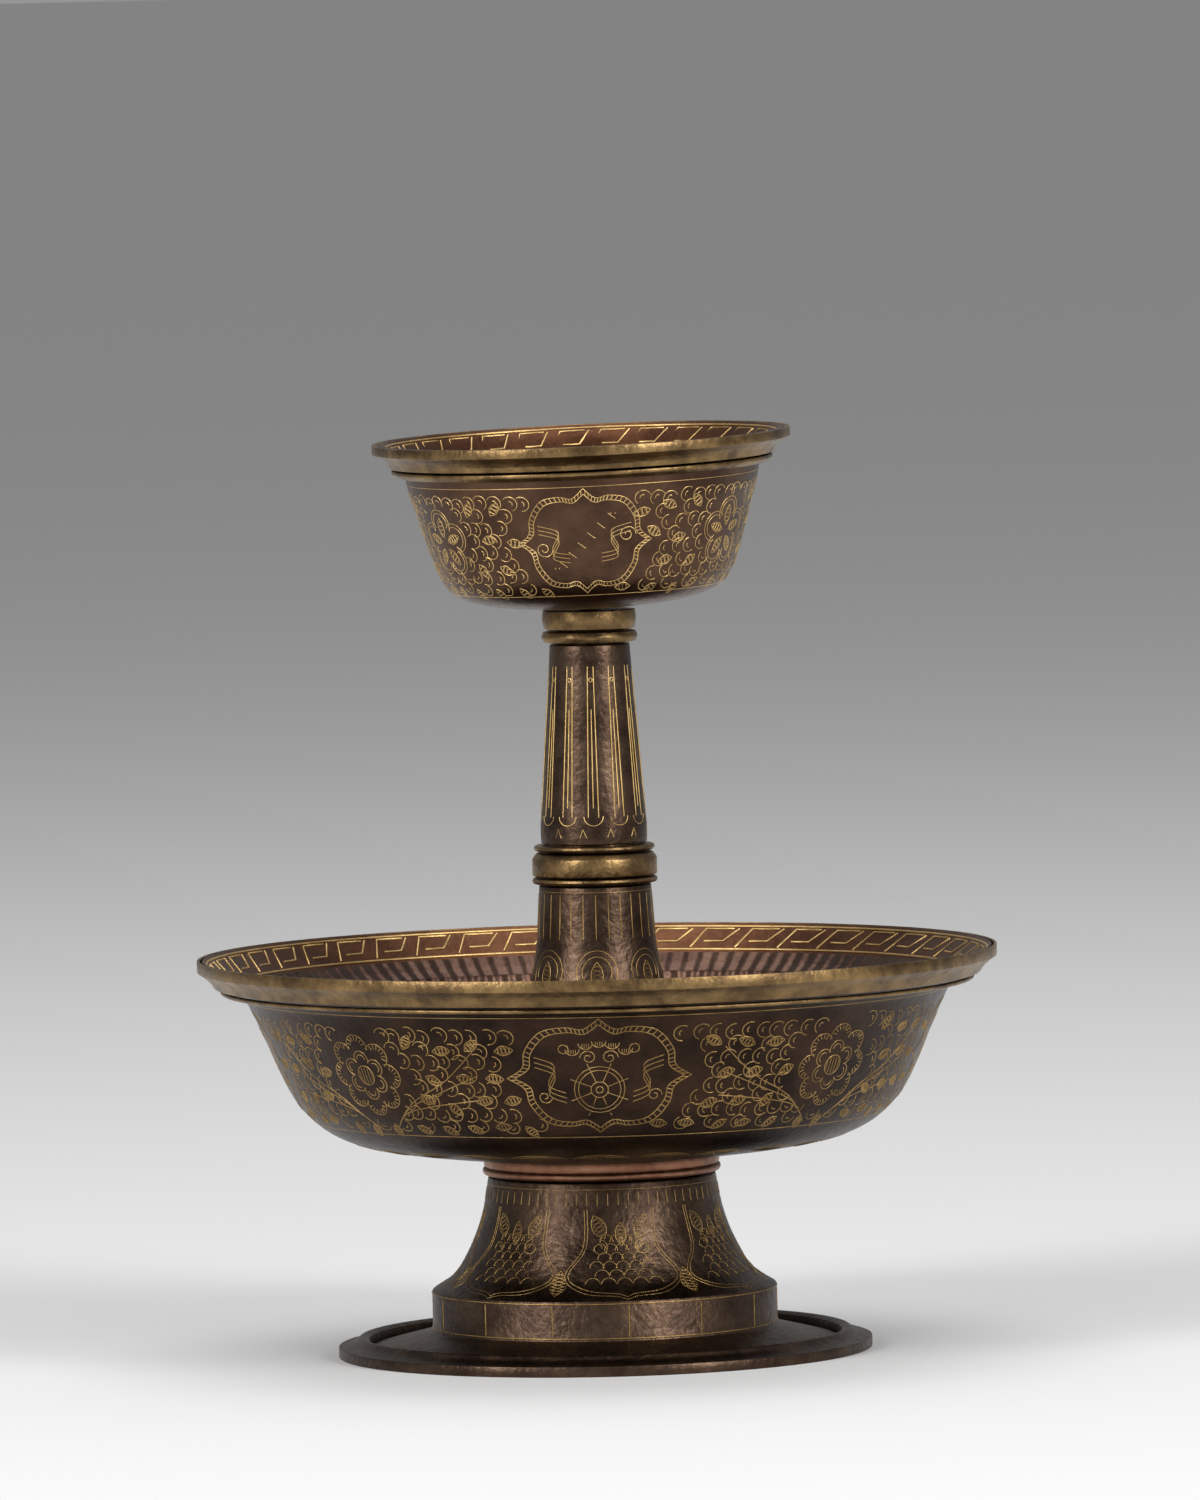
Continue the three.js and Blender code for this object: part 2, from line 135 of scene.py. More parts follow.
def aged_metal_group():
    tree = bpy.data.node_groups.new("aged_metal", "ShaderNodeTree")
    new_socket(tree, "Tone", "NodeSocketColor", "INPUT", (0.1, 0.06, 0.04, 1))
    new_socket(tree, "Worn", "NodeSocketColor", "INPUT", (0.3, 0.2, 0.1, 1))
    new_socket(tree, "Cloud Scale", "NodeSocketFloat", "INPUT", 60.0)
    new_socket(tree, "Wear", "NodeSocketFloat", "INPUT", 0.5)
    new_socket(tree, "Smoothest", "NodeSocketFloat", "INPUT", 0.25)
    new_socket(tree, "Roughest", "NodeSocketFloat", "INPUT", 0.5)
    new_socket(tree, "Color", "NodeSocketColor", "OUTPUT")
    new_socket(tree, "Roughness", "NodeSocketFloat", "OUTPUT")
    new_socket(tree, "Height", "NodeSocketFloat", "OUTPUT")
    nodes = tree.nodes
    join = tree.links.new
    given = nodes.new("NodeGroupInput")
    result = nodes.new("NodeGroupOutput")
    place = nodes.new("ShaderNodeTexCoord")
    cloud = nodes.new("ShaderNodeTexNoise")
    cloud.inputs["Detail"].default_value = CLOUD_DETAIL
    cloud.inputs["Roughness"].default_value = CLOUD_ROUGHNESS
    join(place.outputs["Object"], cloud.inputs["Vector"])
    join(given.outputs["Cloud Scale"], cloud.inputs["Scale"])
    grain = nodes.new("ShaderNodeTexNoise")
    grain.inputs["Scale"].default_value = GRAIN_SCALE
    grain.inputs["Detail"].default_value = GRAIN_DETAIL
    join(place.outputs["Object"], grain.inputs["Vector"])
    rubbed = nodes.new("ShaderNodeMapRange")
    rubbed.inputs["From Min"].default_value = WORN_FROM
    rubbed.inputs["From Max"].default_value = WORN_FULLY
    join(cloud.outputs["Fac"], rubbed.inputs["Value"])
    mix = nodes.new("ShaderNodeMix")
    mix.data_type = "RGBA"
    amount = math_node(tree, "MULTIPLY", rubbed.outputs["Result"], given.outputs["Wear"])
    join(amount, mix.inputs["Factor"])
    join(given.outputs["Tone"], mix.inputs["A"])
    join(given.outputs["Worn"], mix.inputs["B"])
    join(mix.outputs["Result"], result.inputs["Color"])
    sheen = nodes.new("ShaderNodeMapRange")
    join(grain.outputs["Fac"], sheen.inputs["Value"])
    join(given.outputs["Smoothest"], sheen.inputs["To Min"])
    join(given.outputs["Roughest"], sheen.inputs["To Max"])
    join(sheen.outputs["Result"], result.inputs["Roughness"])
    height = math_node(tree, "ADD", cloud.outputs["Fac"], grain.outputs["Fac"])
    join(height, result.inputs["Height"])
    return tree


AGED = aged_metal_group()
print("shader group:", AGED.name)

# %% [markdown]
# The inside of the dish shows rows of hammer marks that run down the wall. Modelled dents would
# need a very fine mesh for something this shallow, so a height for the Bump node is enough. It
# comes from the angle round the axis, bent a little by noise, so the rows stay on the metal.

# %% Shader group for hammer rows
WANDER_SCALE = 160
WANDER = 2.2


def hammer_rows_group():
    tree = bpy.data.node_groups.new("hammer_rows", "ShaderNodeTree")
    new_socket(tree, "Rows", "NodeSocketFloat", "INPUT", 140.0)
    new_socket(tree, "Height", "NodeSocketFloat", "OUTPUT")
    nodes = tree.nodes
    given = nodes.new("NodeGroupInput")
    result = nodes.new("NodeGroupOutput")
    place = nodes.new("ShaderNodeTexCoord")
    parts = nodes.new("ShaderNodeSeparateXYZ")
    noise = nodes.new("ShaderNodeTexNoise")
    noise.inputs["Scale"].default_value = WANDER_SCALE
    tree.links.new(place.outputs["Object"], parts.inputs["Vector"])
    tree.links.new(place.outputs["Object"], noise.inputs["Vector"])
    angle = math_node(tree, "ARCTAN2", parts.outputs["Y"], parts.outputs["X"])
    rows = math_node(tree, "MULTIPLY", angle, given.outputs["Rows"])
    bent = math_node(tree, "MULTIPLY_ADD", noise.outputs["Fac"], WANDER, rows)
    wave = math_node(tree, "SINE", bent)
    tree.links.new(wave, result.inputs["Height"])
    return tree


HAMMER = hammer_rows_group()
print("shader group:", HAMMER.name)

# %% [markdown]
# Every finish here is bare metal, so Metallic stays at 1 and the aged metal group feeds colour
# and roughness. One function makes them all, because ten materials built one by one would repeat
# the same nodes. Hammer rows are a second Bump node that takes the first one's normal.

# %% One metal
GRAIN_DEPTH = 0.0004
HAMMER_DEPTH = 0.0002
HAMMER_STRENGTH = 0.5


def bump_node(material, strength, depth, height):
    node = material.node_tree.nodes.new("ShaderNodeBump")
    node.inputs["Strength"].default_value = strength
    node.inputs["Distance"].default_value = depth
    material.node_tree.links.new(height, node.inputs["Height"])
    return node


def metal(name, tone, worn, cloud_scale, wear, smoothest, roughest, grain, hammer_rows=0):
    material = bpy.data.materials.new(name)
    material.use_nodes = True
    nodes = material.node_tree.nodes
    join = material.node_tree.links.new
    surface = nodes["Principled BSDF"]
    surface.inputs["Metallic"].default_value = 1.0
    aged = nodes.new("ShaderNodeGroup")
    aged.node_tree = AGED
    aged.inputs["Tone"].default_value = (*tone, 1)
    aged.inputs["Worn"].default_value = (*worn, 1)
    aged.inputs["Cloud Scale"].default_value = cloud_scale
    aged.inputs["Wear"].default_value = wear
    aged.inputs["Smoothest"].default_value = smoothest
    aged.inputs["Roughest"].default_value = roughest
    join(aged.outputs["Color"], surface.inputs["Base Color"])
    join(aged.outputs["Roughness"], surface.inputs["Roughness"])
    relief = bump_node(material, grain, GRAIN_DEPTH, aged.outputs["Height"])
    if hammer_rows:
        rows = nodes.new("ShaderNodeGroup")
        rows.node_tree = HAMMER
        rows.inputs["Rows"].default_value = hammer_rows
        ripple = bump_node(material, HAMMER_STRENGTH, HAMMER_DEPTH, rows.outputs["Height"])
        join(relief.outputs["Normal"], ripple.inputs["Normal"])
        relief = ripple
    join(relief.outputs["Normal"], surface.inputs["Normal"])
    return material


print("one function for every metal ready")

# %% [markdown]
# The dish is nearly black outside and warmer inside, both lips are red, the stem is brown, and
# rims and rings are brass gone dull. The chased lines have two golds: a bright one where they
# are rubbed and a dull one. Each line below gives the tone, the worn tone, the scale of the
# clouds, the wear, the smoothest and roughest place, the strength of the grain, and hammer rows.

# %% The metals
dish_dark = metal("dish_dark", (0.022, 0.014, 0.011), (0.075, 0.042, 0.026), 90, 0.8, 0.26, 0.46, 0.2)
dish_inner = metal("dish_inner", (0.07, 0.038, 0.029), (0.15, 0.088, 0.062), 70, 0.9, 0.28, 0.46, 0.2, 140)
lip_red = metal("lip_red", (0.085, 0.034, 0.018), (0.17, 0.075, 0.036), 110, 0.9, 0.3, 0.48, 0.2)
cup_brown = metal("cup_brown", (0.06, 0.032, 0.021), (0.14, 0.08, 0.05), 90, 0.9, 0.26, 0.45, 0.2)
stem_brown = metal("stem_brown", (0.045, 0.028, 0.02), (0.125, 0.08, 0.052), 130, 1.0, 0.26, 0.5, 0.35)
old_brass = metal("old_brass", (0.11, 0.068, 0.032), (0.35, 0.225, 0.095), 180, 1.0, 0.24, 0.5, 0.3)
red_copper = metal("red_copper", (0.2, 0.09, 0.055), (0.42, 0.22, 0.13), 150, 0.9, 0.3, 0.5, 0.25)
bright_line = metal("bright_line", (0.55, 0.36, 0.13), (0.8, 0.56, 0.25), 200, 1.0, 0.3, 0.5, 0.1)
dull_line = metal("dull_line", (0.24, 0.145, 0.05), (0.5, 0.33, 0.13), 220, 1.0, 0.35, 0.55, 0.1)
dull_iron = metal("dull_iron", (0.1, 0.09, 0.085), (0.16, 0.12, 0.09), 150, 0.9, 0.5, 0.7, 0.3)
print("materials:", len(bpy.data.materials))

# %% [markdown]
# Every main piece is turned or raised, so its outline of radius and height says all there is to
# say. Curved stretches of an outline are a soft curve through a few points, which is easier to
# read and to change than many small steps. A wall's inside is its outside moved along its normal.

# %% Outlines of turned forms
def smooth_run(points, steps):
    """Points on a soft curve through the given ones."""
    run = []
    last = len(points) - 1
    for k in range(last):
        a = Vector(points[max(k - 1, 0)])
        b = Vector(points[k])
        c = Vector(points[k + 1])
        d = Vector(points[min(k + 2, last)])
        slope = c - a
        bend = 2 * a - 5 * b + 4 * c - d
        twist = 3 * b - a - 3 * c + d
        for i in range(steps):
            t = i / steps
            run.append(tuple(0.5 * (2 * b + slope * t + bend * t**2 + twist * t**3)))
    run.append(tuple(points[-1]))
    return run


def shifted(run, inward):
    """The run moved along its own normal by the wall's thickness, in reverse order."""
    result = []
    for k, p in enumerate(run):
        a = Vector(run[max(k - 1, 0)])
        b = Vector(run[min(k + 1, len(run) - 1)])
        along = (b - a).normalized()
        result.append((p[0] - along.y * inward, p[1] + along.x * inward))
    return result[::-1]


print("outline helpers ready")

# %% [markdown]
# The outline is swept round the axis. Blender's Spin tool can do that too, but it leaves seams
# and open poles to mend. Here each point of the outline becomes a ring of points, or one point on
# the axis, and neighbouring rings are joined, so the solid is closed from the start.

# %% Rings and the skin between them
WIDE_SIDES = 192
SLIM_SIDES = 96
ON_AXIS = 1e-6


def add_ring(bm, radius, height, sides):
    if radius < ON_AXIS:
        return [bm.verts.new((0, 0, height * MM))]
    ring = []
    for i in range(sides):
        angle = 2 * math.pi * i / sides
        x = radius * math.cos(angle) * MM
        y = radius * math.sin(angle) * MM
        ring.append(bm.verts.new((x, y, height * MM)))
    return ring


def add_skin(bm, low, high, sides):
    for i in range(sides):
        j = (i + 1) % sides
        if len(low) == 1:
            bm.faces.new((low[0], high[i], high[j]))
        elif len(high) == 1:
            bm.faces.new((low[i], high[0], low[j]))
        else:
            bm.faces.new((low[i], low[j], high[j], high[i]))


print("sides of a wide piece:", WIDE_SIDES, "and of a slim one:", SLIM_SIDES)

# %% [markdown]
# Real arrises are never sharp: handling has rounded them, and the narrow round catches the light.
# A Bevel modifier would do, but bmesh can bevel the sharp edges at once and leaves a plain mesh.
# A finished piece then gets its metal, its body and the CAD node that it takes the place of.

# %% Turned pieces
ARRIS = math.radians(28)
ARRIS_ROUND = 0.12


def revolve(name, outline, sides, matrix=None, bevel=ARRIS_ROUND):
    bm = bmesh.new()
    rings = [add_ring(bm, radius, height, sides) for radius, height in outline]
    pairs = list(zip(rings, rings[1:]))
    if outline[0][0] > ON_AXIS:
        pairs.append((rings[-1], rings[0]))
    for low, high in pairs:
        add_skin(bm, low, high, sides)
    bmesh.ops.recalc_face_normals(bm, faces=bm.faces)
    arrises = [e for e in bm.edges if e.calc_face_angle(0) > ARRIS]
    if bevel and arrises:
        bmesh.ops.bevel(bm, geom=arrises, offset=bevel * MM, segments=2, affect="EDGES", profile=0.5)
    for face in bm.faces:
        face.smooth = True
    mesh = bpy.data.meshes.new(name)
    bm.to_mesh(mesh)
    bm.free()
    if matrix:
        mesh.transform(matrix)
    piece = bpy.data.objects.new(name, mesh)
    bpy.context.scene.collection.objects.link(piece)
    return piece


def finish_piece(obj, body, node, material):
    obj.data.materials.clear()
    obj.data.materials.append(material)
    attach(obj, body)
    if node:
        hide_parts(node)


print("arrises sharper than", round(math.degrees(ARRIS)), "degrees are rounded")

# %% [markdown]
# The base ring is cast, flat underneath, with a cove round its top that leads to the foot. A
# torus cut flat would come near, but the cove is clearer as a curve through six points.

# %% Base ring
BASE_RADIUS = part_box("base_ring")[1].x / MM
BASE_HEIGHT = high_of("base_ring")
BASE_INNER = 38.4

cove_points = [
    (BASE_RADIUS, 1.7),
    (42.0, 1.85),
    (40.8, 2.35),
    (39.9, BASE_HEIGHT),
    (39.1, 3.05),
    (BASE_INNER, 2.6),
]
base_outline = [(BASE_INNER, 0), (BASE_RADIUS, 0)] + smooth_run(cove_points, 5)
base = revolve("foot_ring", base_outline, WIDE_SIDES)
finish_piece(base, "dish", "base_ring", stem_brown)
print("base ring,", round(2 * BASE_RADIUS, 1), "mm across")

# %% [markdown]
# The foot is one sheet: a sloping floor inside the base ring, an upright drum, and a hollow flare
# that rises to the dish. It could be three pieces, but the real one shows no seam, so the outline
# goes up outside and comes down inside. The flare's run is kept for the chasing.

# %% Foot
FOOT_TOP = high_of("foot_shell")
FOOT_EDGE = 38.1
FOOT_LOW = 0.3
DRUM_RADIUS = 28.1
DRUM_TOP = 10.6
SHEET = 1.2
DRUM_INSIDE = DRUM_RADIUS - SHEET

flare_points = [(DRUM_RADIUS - 0.1, DRUM_TOP), (24.2, 13.3), (21.4, 18.0), (19.6, 23.0), (18.5, FOOT_TOP)]
flare = smooth_run(flare_points, 10)
foot_outline = [(FOOT_EDGE, FOOT_LOW), (FOOT_EDGE, 1.5), (DRUM_RADIUS + 0.9, 3.75)]
foot_outline += [(DRUM_RADIUS, 4.2), (DRUM_RADIUS, DRUM_TOP - 0.3)]
foot_outline += flare
foot_outline += [(radius - SHEET, min(height, FOOT_TOP)) for radius, height in flare[::-1]]
foot_outline += [(DRUM_INSIDE - 0.3, DRUM_TOP - 1.2), (DRUM_INSIDE, DRUM_TOP - 1.8)]
foot_outline += [(DRUM_INSIDE, FOOT_LOW)]
foot = revolve("flared_foot", foot_outline, WIDE_SIDES)
finish_piece(foot, "dish", "foot_shell", stem_brown)
print("foot made, up to", round(FOOT_TOP, 1), "mm")

# %% [markdown]
# A soldered wire and a thin band of redder copper hide the seam between foot and dish. A torus
# would serve for the wire, but a round section swept by the same function gives it the same
# sides as its neighbours. The band reaches a little past its CAD node, so no light shows through.

# %% Wire and band under the dish
WIRE_SIDES = 14
FOOT_WIRE_OUTER = 19.4
FOOT_WIRE_HALF = 0.72
BAND_HOLE = 17.2
BAND_RADIUS = 19.2


def wire(name, radius, height, half):
    section = []
    for i in range(WIRE_SIDES):
        angle = 2 * math.pi * i / WIRE_SIDES
        section.append((radius + half * math.cos(angle), height + half * math.sin(angle)))
    return revolve(name, section, WIDE_SIDES, bevel=0)


bead = wire("foot_wire", FOOT_WIRE_OUTER - FOOT_WIRE_HALF, middle_of("foot_bead"), FOOT_WIRE_HALF)
finish_piece(bead, "dish", "foot_bead", red_copper)
band_low = low_of("foot_neck_band")
band_foot = band_low - 0.6
band_top = high_of("foot_neck_band") + 0.35
band_outline = [(BAND_HOLE, band_foot), (18.9, band_foot), (BAND_RADIUS, band_low)]
band_outline += [(BAND_RADIUS, band_top), (BAND_HOLE, band_top)]
band = revolve("foot_band", band_outline, WIDE_SIDES, bevel=0.1)
finish_piece(band, "dish", "foot_neck_band", red_copper)
print("wire and band made, up to", round(band_top, 2), "mm")

# %% [markdown]
# The dish is raised from sheet: a nearly flat floor, a round turn and a wall that opens to a
# broad sloping lip. Its outside and its lip are kept as runs of radius and height, because the
# chased lines are laid on those same runs later.

# %% Runs of the dish
DISH_LOW = low_of("dish_bowl")
DISH_HIGH = high_of("dish_bowl")
DISH_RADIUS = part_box("dish_rim_edge")[1].x / MM
DISH_WALL = 1.2
FLAT_REACH = 30

dish_wall_run = smooth_run(
    [
        (19.2, DISH_LOW),
        (35.4, DISH_LOW + 2.0),
        (43.3, DISH_LOW + 4.4),
        (48.6, DISH_LOW + 8.8),
        (51.5, DISH_LOW + 13.9),
        (54.5, DISH_LOW + 20.7),
        (57.1, DISH_LOW + 26.2),
        (58.6, DISH_HIGH - 6.0),
    ],
    9,
)
dish_lip_run = smooth_run(
    [
        (57.2, DISH_HIGH - 6.3),
        (59.5, DISH_HIGH - 4.2),
        (62.0, DISH_HIGH - 1.9),
        (DISH_RADIUS - 0.9, DISH_HIGH),
    ],
    6,
)
inner_run = shifted([p for p in dish_wall_run if p[0] > FLAT_REACH], DISH_WALL)
inner_run = [p for p in inner_run if p[1] < DISH_HIGH - 6.9]
print("dish wall from", round(DISH_LOW, 1), "to", round(DISH_HIGH, 1), "mm")

# %% [markdown]
# One closed outline makes the whole bowl: floor, wall, underside of the lip, lip and inside. The
# inside and the lip have other finishes. They could be pieces of their own, but on one sheet it
# is truer to give the faces that look inwards or up another material.

# %% Dish
DISH_FLOOR = DISH_LOW + 1.7
INSIDE_SLOT = 1
LIP_SLOT = 2
LOOKS_UP = 0.7

dish_lip_under = [(60.9, DISH_HIGH - 4.3), (62.8, DISH_HIGH - 2.4), (DISH_RADIUS - 0.8, DISH_HIGH - 0.3)]
dish_outline = [(0, DISH_LOW)] + dish_wall_run + dish_lip_under + dish_lip_run[::-1] + inner_run
dish_outline += [(24, DISH_LOW + 1.9), (20, DISH_FLOOR), (0, DISH_FLOOR)]
dish = revolve("dish", dish_outline, WIDE_SIDES)
finish_piece(dish, "dish", "dish_bowl", dish_dark)
dish.data.materials.append(dish_inner)
dish.data.materials.append(lip_red)


def looks_inward(face, middle):
    return face.normal.x * middle.x + face.normal.y * middle.y < 0


for face in dish.data.polygons:
    middle = face.center / MM
    if (looks_inward(face, middle) or face.normal.z > LOOKS_UP) and middle.z > DISH_LOW + 1:
        face.material_index = LIP_SLOT if middle.z > DISH_HIGH - 4.4 else INSIDE_SLOT
print("dish made,", round(2 * DISH_RADIUS, 1), "mm across")

# %% [markdown]
# A brass band is folded over the lip's edge, and a fine wire runs under it. The band could be
# painted on the dish, but it stands proud of the lip and casts a line of shadow, so it is a
# turned piece with its own outline.

# %% Edge band and wire of the dish
BAND_LIP = 0.45
LEDGE_WIRE_RADIUS = 61
LEDGE_WIRE_HALF = 0.4

edge_outline = [(61.75, DISH_HIGH - 4.4), (62.4, DISH_HIGH - 4.4)]
edge_curve = [(62.9, DISH_HIGH - 3.6), (63.8, DISH_HIGH - 2.7), (DISH_RADIUS, DISH_HIGH - 1.8)]
edge_outline += smooth_run(edge_curve, 5)
edge_outline += [(DISH_RADIUS, DISH_HIGH), (DISH_RADIUS - BAND_LIP, DISH_HIGH)]
edge_outline += [(DISH_RADIUS - BAND_LIP, DISH_HIGH - 0.5), (63.45, DISH_HIGH - 2.4)]
edge = revolve("dish_edge", edge_outline, WIDE_SIDES, bevel=0.08)
finish_piece(edge, "dish", "dish_rim_edge", old_brass)
ledge = wire("dish_ledge_wire", LEDGE_WIRE_RADIUS, middle_of("dish_ledge_bead"), LEDGE_WIRE_HALF)
finish_piece(ledge, "dish", "dish_ledge_bead", old_brass)
print("edge band and wire of the dish made")

# %% [markdown]
# The goblet's stem is two hollow pieces that meet in the knop. The lower one flares to the
# goblet's own foot, hidden in the dish, and the upper one tapers to the neck. One piece would
# look the same, but the knop's spigots need the two open ends.

# %% Lower stem
STEM_LOW = low_of("lower_stem")
STEM_MID = high_of("lower_stem")
STEM_WALL = 1.2
STEM_FOOT = 17
STEM_FOOT_HOLE = 15.8

lower_run = smooth_run(
    [
        (16.4, STEM_LOW + 2.5),
        (14.5, STEM_LOW + 8),
        (12.4, STEM_LOW + 18),
        (10.9, STEM_LOW + 26.4),
        (9.7, STEM_LOW + 32.8),
        (9.1, STEM_MID),
    ],
    8,
)
lower_inner = [(radius - STEM_WALL, height) for radius, height in lower_run[::-1]]
lower_outline = [(STEM_FOOT_HOLE, STEM_LOW), (STEM_FOOT, STEM_LOW), (STEM_FOOT, STEM_LOW + 1.9)]
lower_outline += lower_run + lower_inner[:-2] + [(STEM_FOOT_HOLE, STEM_LOW + 1.5)]
lower = revolve("stem_lower", lower_outline, SLIM_SIDES)
finish_piece(lower, "goblet", "lower_stem", stem_brown)
print("lower stem from", round(STEM_LOW, 1), "to", round(STEM_MID, 1), "mm")

# %% Upper stem
UPPER_LOW = low_of("upper_stem")
UPPER_HIGH = high_of("upper_stem")
UPPER_FOOT = 8.6
UPPER_WALL = 0.95

upper_points = [(UPPER_FOOT, UPPER_LOW), (UPPER_FOOT, UPPER_LOW + 3.6)]
upper_points += [(7.57, UPPER_LOW + 15.3), (6.5, UPPER_HIGH)]
upper_run = smooth_run(upper_points, 10)
upper_inner = [(radius - UPPER_WALL, height) for radius, height in upper_run[::-1]]
upper = revolve("stem_upper", upper_run + upper_inner, SLIM_SIDES)
finish_piece(upper, "goblet", "upper_stem", stem_brown)
print("upper stem from", round(UPPER_LOW, 1), "to", round(UPPER_HIGH, 1), "mm")

# %% [markdown]
# The knop is a stack of three brass rings, and one more ring sits under the cup. The outer rings
# have softly rounded faces. A bevelled cylinder would look too even, so the face is a curve that
# swells to its middle.

# %% Rings of the knop and neck
RING_EASE = 0.12
KNOP_RING_HOLE = 7.6


def ring_piece(name, node, hole, radius, roundness):
    low = low_of(node)
    high = high_of(node)
    shoulder = radius - roundness * 0.3
    outline = [(hole, low), (radius - roundness, low)]
    face = [(shoulder, low + RING_EASE), (radius, middle_of(node)), (shoulder, high - RING_EASE)]
    outline += smooth_run(face, 5)
    outline += [(radius - roundness, high), (hole, high)]
    ring = revolve(name, outline, SLIM_SIDES, bevel=0.05)
    finish_piece(ring, "goblet", node, old_brass)


ring_piece("knop_ring_lower", "knop_lower_bead", KNOP_RING_HOLE, 10.2, 0.5)
ring_piece("knop_ring_upper", "knop_upper_bead", KNOP_RING_HOLE, 9.84, 0.5)
ring_piece("neck_ring", "neck_bead", 5.4, 7.8, 0.9)
print("two rings of the knop and the neck's ring made")

# %% [markdown]
# The middle ring of the knop carries a spigot into each half of the stem, and the collar has one
# that goes into the neck. Both are bored for the iron rod that holds the goblet together. They
# could be rings with loose tubes, but each is one turned piece, as a lathe would make it.

# %% Knop and collar
ROD_HOLE = 2
SPIGOT = 4
SPIGOT_RADIUS = 7.3
KNOP_RADIUS = 10.15
COLLAR_RADIUS = 7.6
COLLAR_SPIGOT = 6.2
COLLAR_SPIGOT_RADIUS = 5.1

knop_low = low_of("knop_band") + SPIGOT
knop_high = high_of("knop_band") - SPIGOT
knop_outline = [(ROD_HOLE, knop_low - SPIGOT), (SPIGOT_RADIUS, knop_low - SPIGOT)]
knop_outline += [(SPIGOT_RADIUS, knop_low), (KNOP_RADIUS, knop_low), (KNOP_RADIUS, knop_high - 0.9)]
knop_outline += [(9.45, knop_high), (SPIGOT_RADIUS, knop_high)]
knop_outline += [(SPIGOT_RADIUS, knop_high + SPIGOT), (ROD_HOLE, knop_high + SPIGOT)]
knop = revolve("knop", knop_outline, SLIM_SIDES, bevel=0.18)
finish_piece(knop, "goblet", "knop_band", old_brass)

collar_high = high_of("neck_collar")
collar_low = collar_high - 3.1
collar_outline = [(ROD_HOLE, collar_low - COLLAR_SPIGOT), (COLLAR_SPIGOT_RADIUS, collar_low - COLLAR_SPIGOT)]
collar_outline += [(COLLAR_SPIGOT_RADIUS, collar_low)]
collar_face = [(7.35, collar_low), (COLLAR_RADIUS, collar_low + 1.2), (COLLAR_RADIUS, collar_low + 2.2)]
collar_outline += smooth_run(collar_face + [(7.5, collar_high)], 4)
collar_outline += [(ROD_HOLE, collar_high)]
collar = revolve("collar", collar_outline, SLIM_SIDES, bevel=0.1)
finish_piece(collar, "goblet", "neck_collar", old_brass)
print("knop at", round(knop_low, 1), "mm and collar up to", round(collar_high, 1), "mm")

# %% [markdown]
# The cup leans a little on its collar. Its object could be turned instead, but the export wants
# every object unturned. So its pieces are made upright about their own axis, and one matrix with
# the frame's own lean turns their points. The low side keeps a small gap over the collar.

# %% Lean of the cup
LEAN_LEFT = math.radians(1.4)
LEAN_FORWARD = math.radians(1.2)
SEAT_GAP = 0.3

lean_drop = COLLAR_RADIUS * math.hypot(math.sin(LEAN_LEFT), math.sin(LEAN_FORWARD))
CUP_BASE = collar_high + SEAT_GAP + lean_drop
LEAN = (
    Matrix.Translation((0, 0, CUP_BASE * MM))
    @ Matrix.Rotation(LEAN_FORWARD, 4, "X")
    @ Matrix.Rotation(-LEAN_LEFT, 4, "Y")
)
print("cup leans", round(math.degrees(LEAN_LEFT), 1), "degrees from", round(CUP_BASE, 2), "mm")

# %% [markdown]
# The cup is raised like the dish: a flat floor, a quick turn, a wall that swells and a lip that
# turns out. It is made the same way, with the wall and the lip kept as runs for the chasing.

# %% Cup
CUP_HEIGHT = 27.8
CUP_WALL = 1.1
CUP_FLOOR = 1.2
UNDERSIDE_REACH = 9

cup_wall_run = smooth_run(
    [
        (10.2, 0.15),
        (16, 0.8),
        (20.6, 2.2),
        (23.4, 4.8),
        (25.4, 10),
        (27.2, 16.2),
        (28.2, CUP_HEIGHT - 8.6),
        (28.8, CUP_HEIGHT - 5.6),
    ],
    8,
)
cup_lip_points = [
    (27.9, CUP_HEIGHT - 5.8),
    (28.9, CUP_HEIGHT - 3.8),
    (30.4, CUP_HEIGHT - 1.8),
    (32.3, CUP_HEIGHT),
]
cup_lip_run = smooth_run(cup_lip_points, 6)
cup_outline = [(ROD_HOLE, 0)] + cup_wall_run
cup_outline += [(29.6, CUP_HEIGHT - 4), (30.9, CUP_HEIGHT - 2.3)]
cup_outline += [(32.1, CUP_HEIGHT - 1), (32.8, CUP_HEIGHT - 0.2)]
cup_outline += cup_lip_run[::-1]
cup_outline += [p for p in shifted(cup_wall_run, CUP_WALL) if p[1] < CUP_HEIGHT - 6.4]
cup_outline += [(8, CUP_FLOOR), (ROD_HOLE, CUP_FLOOR)]
cup = revolve("cup", cup_outline, WIDE_SIDES, LEAN)
finish_piece(cup, "goblet", "cup_bowl", cup_brown)
cup.data.materials.append(lip_red)
for face in cup.data.polygons:
    middle = LEAN.inverted() @ face.center / MM
    if looks_inward(face, middle) and middle.length > UNDERSIDE_REACH:
        face.material_index = INSIDE_SLOT
print("cup made,", CUP_HEIGHT, "mm high")

# %% [markdown]
# The cup's lip has the same two trims as the dish's: a brass band over its edge and a ledge
# under it, each a turned piece with its own outline.

# %% Edge band and ledge of the cup
CUP_RADIUS = 34
LEDGE_OUTER = 31

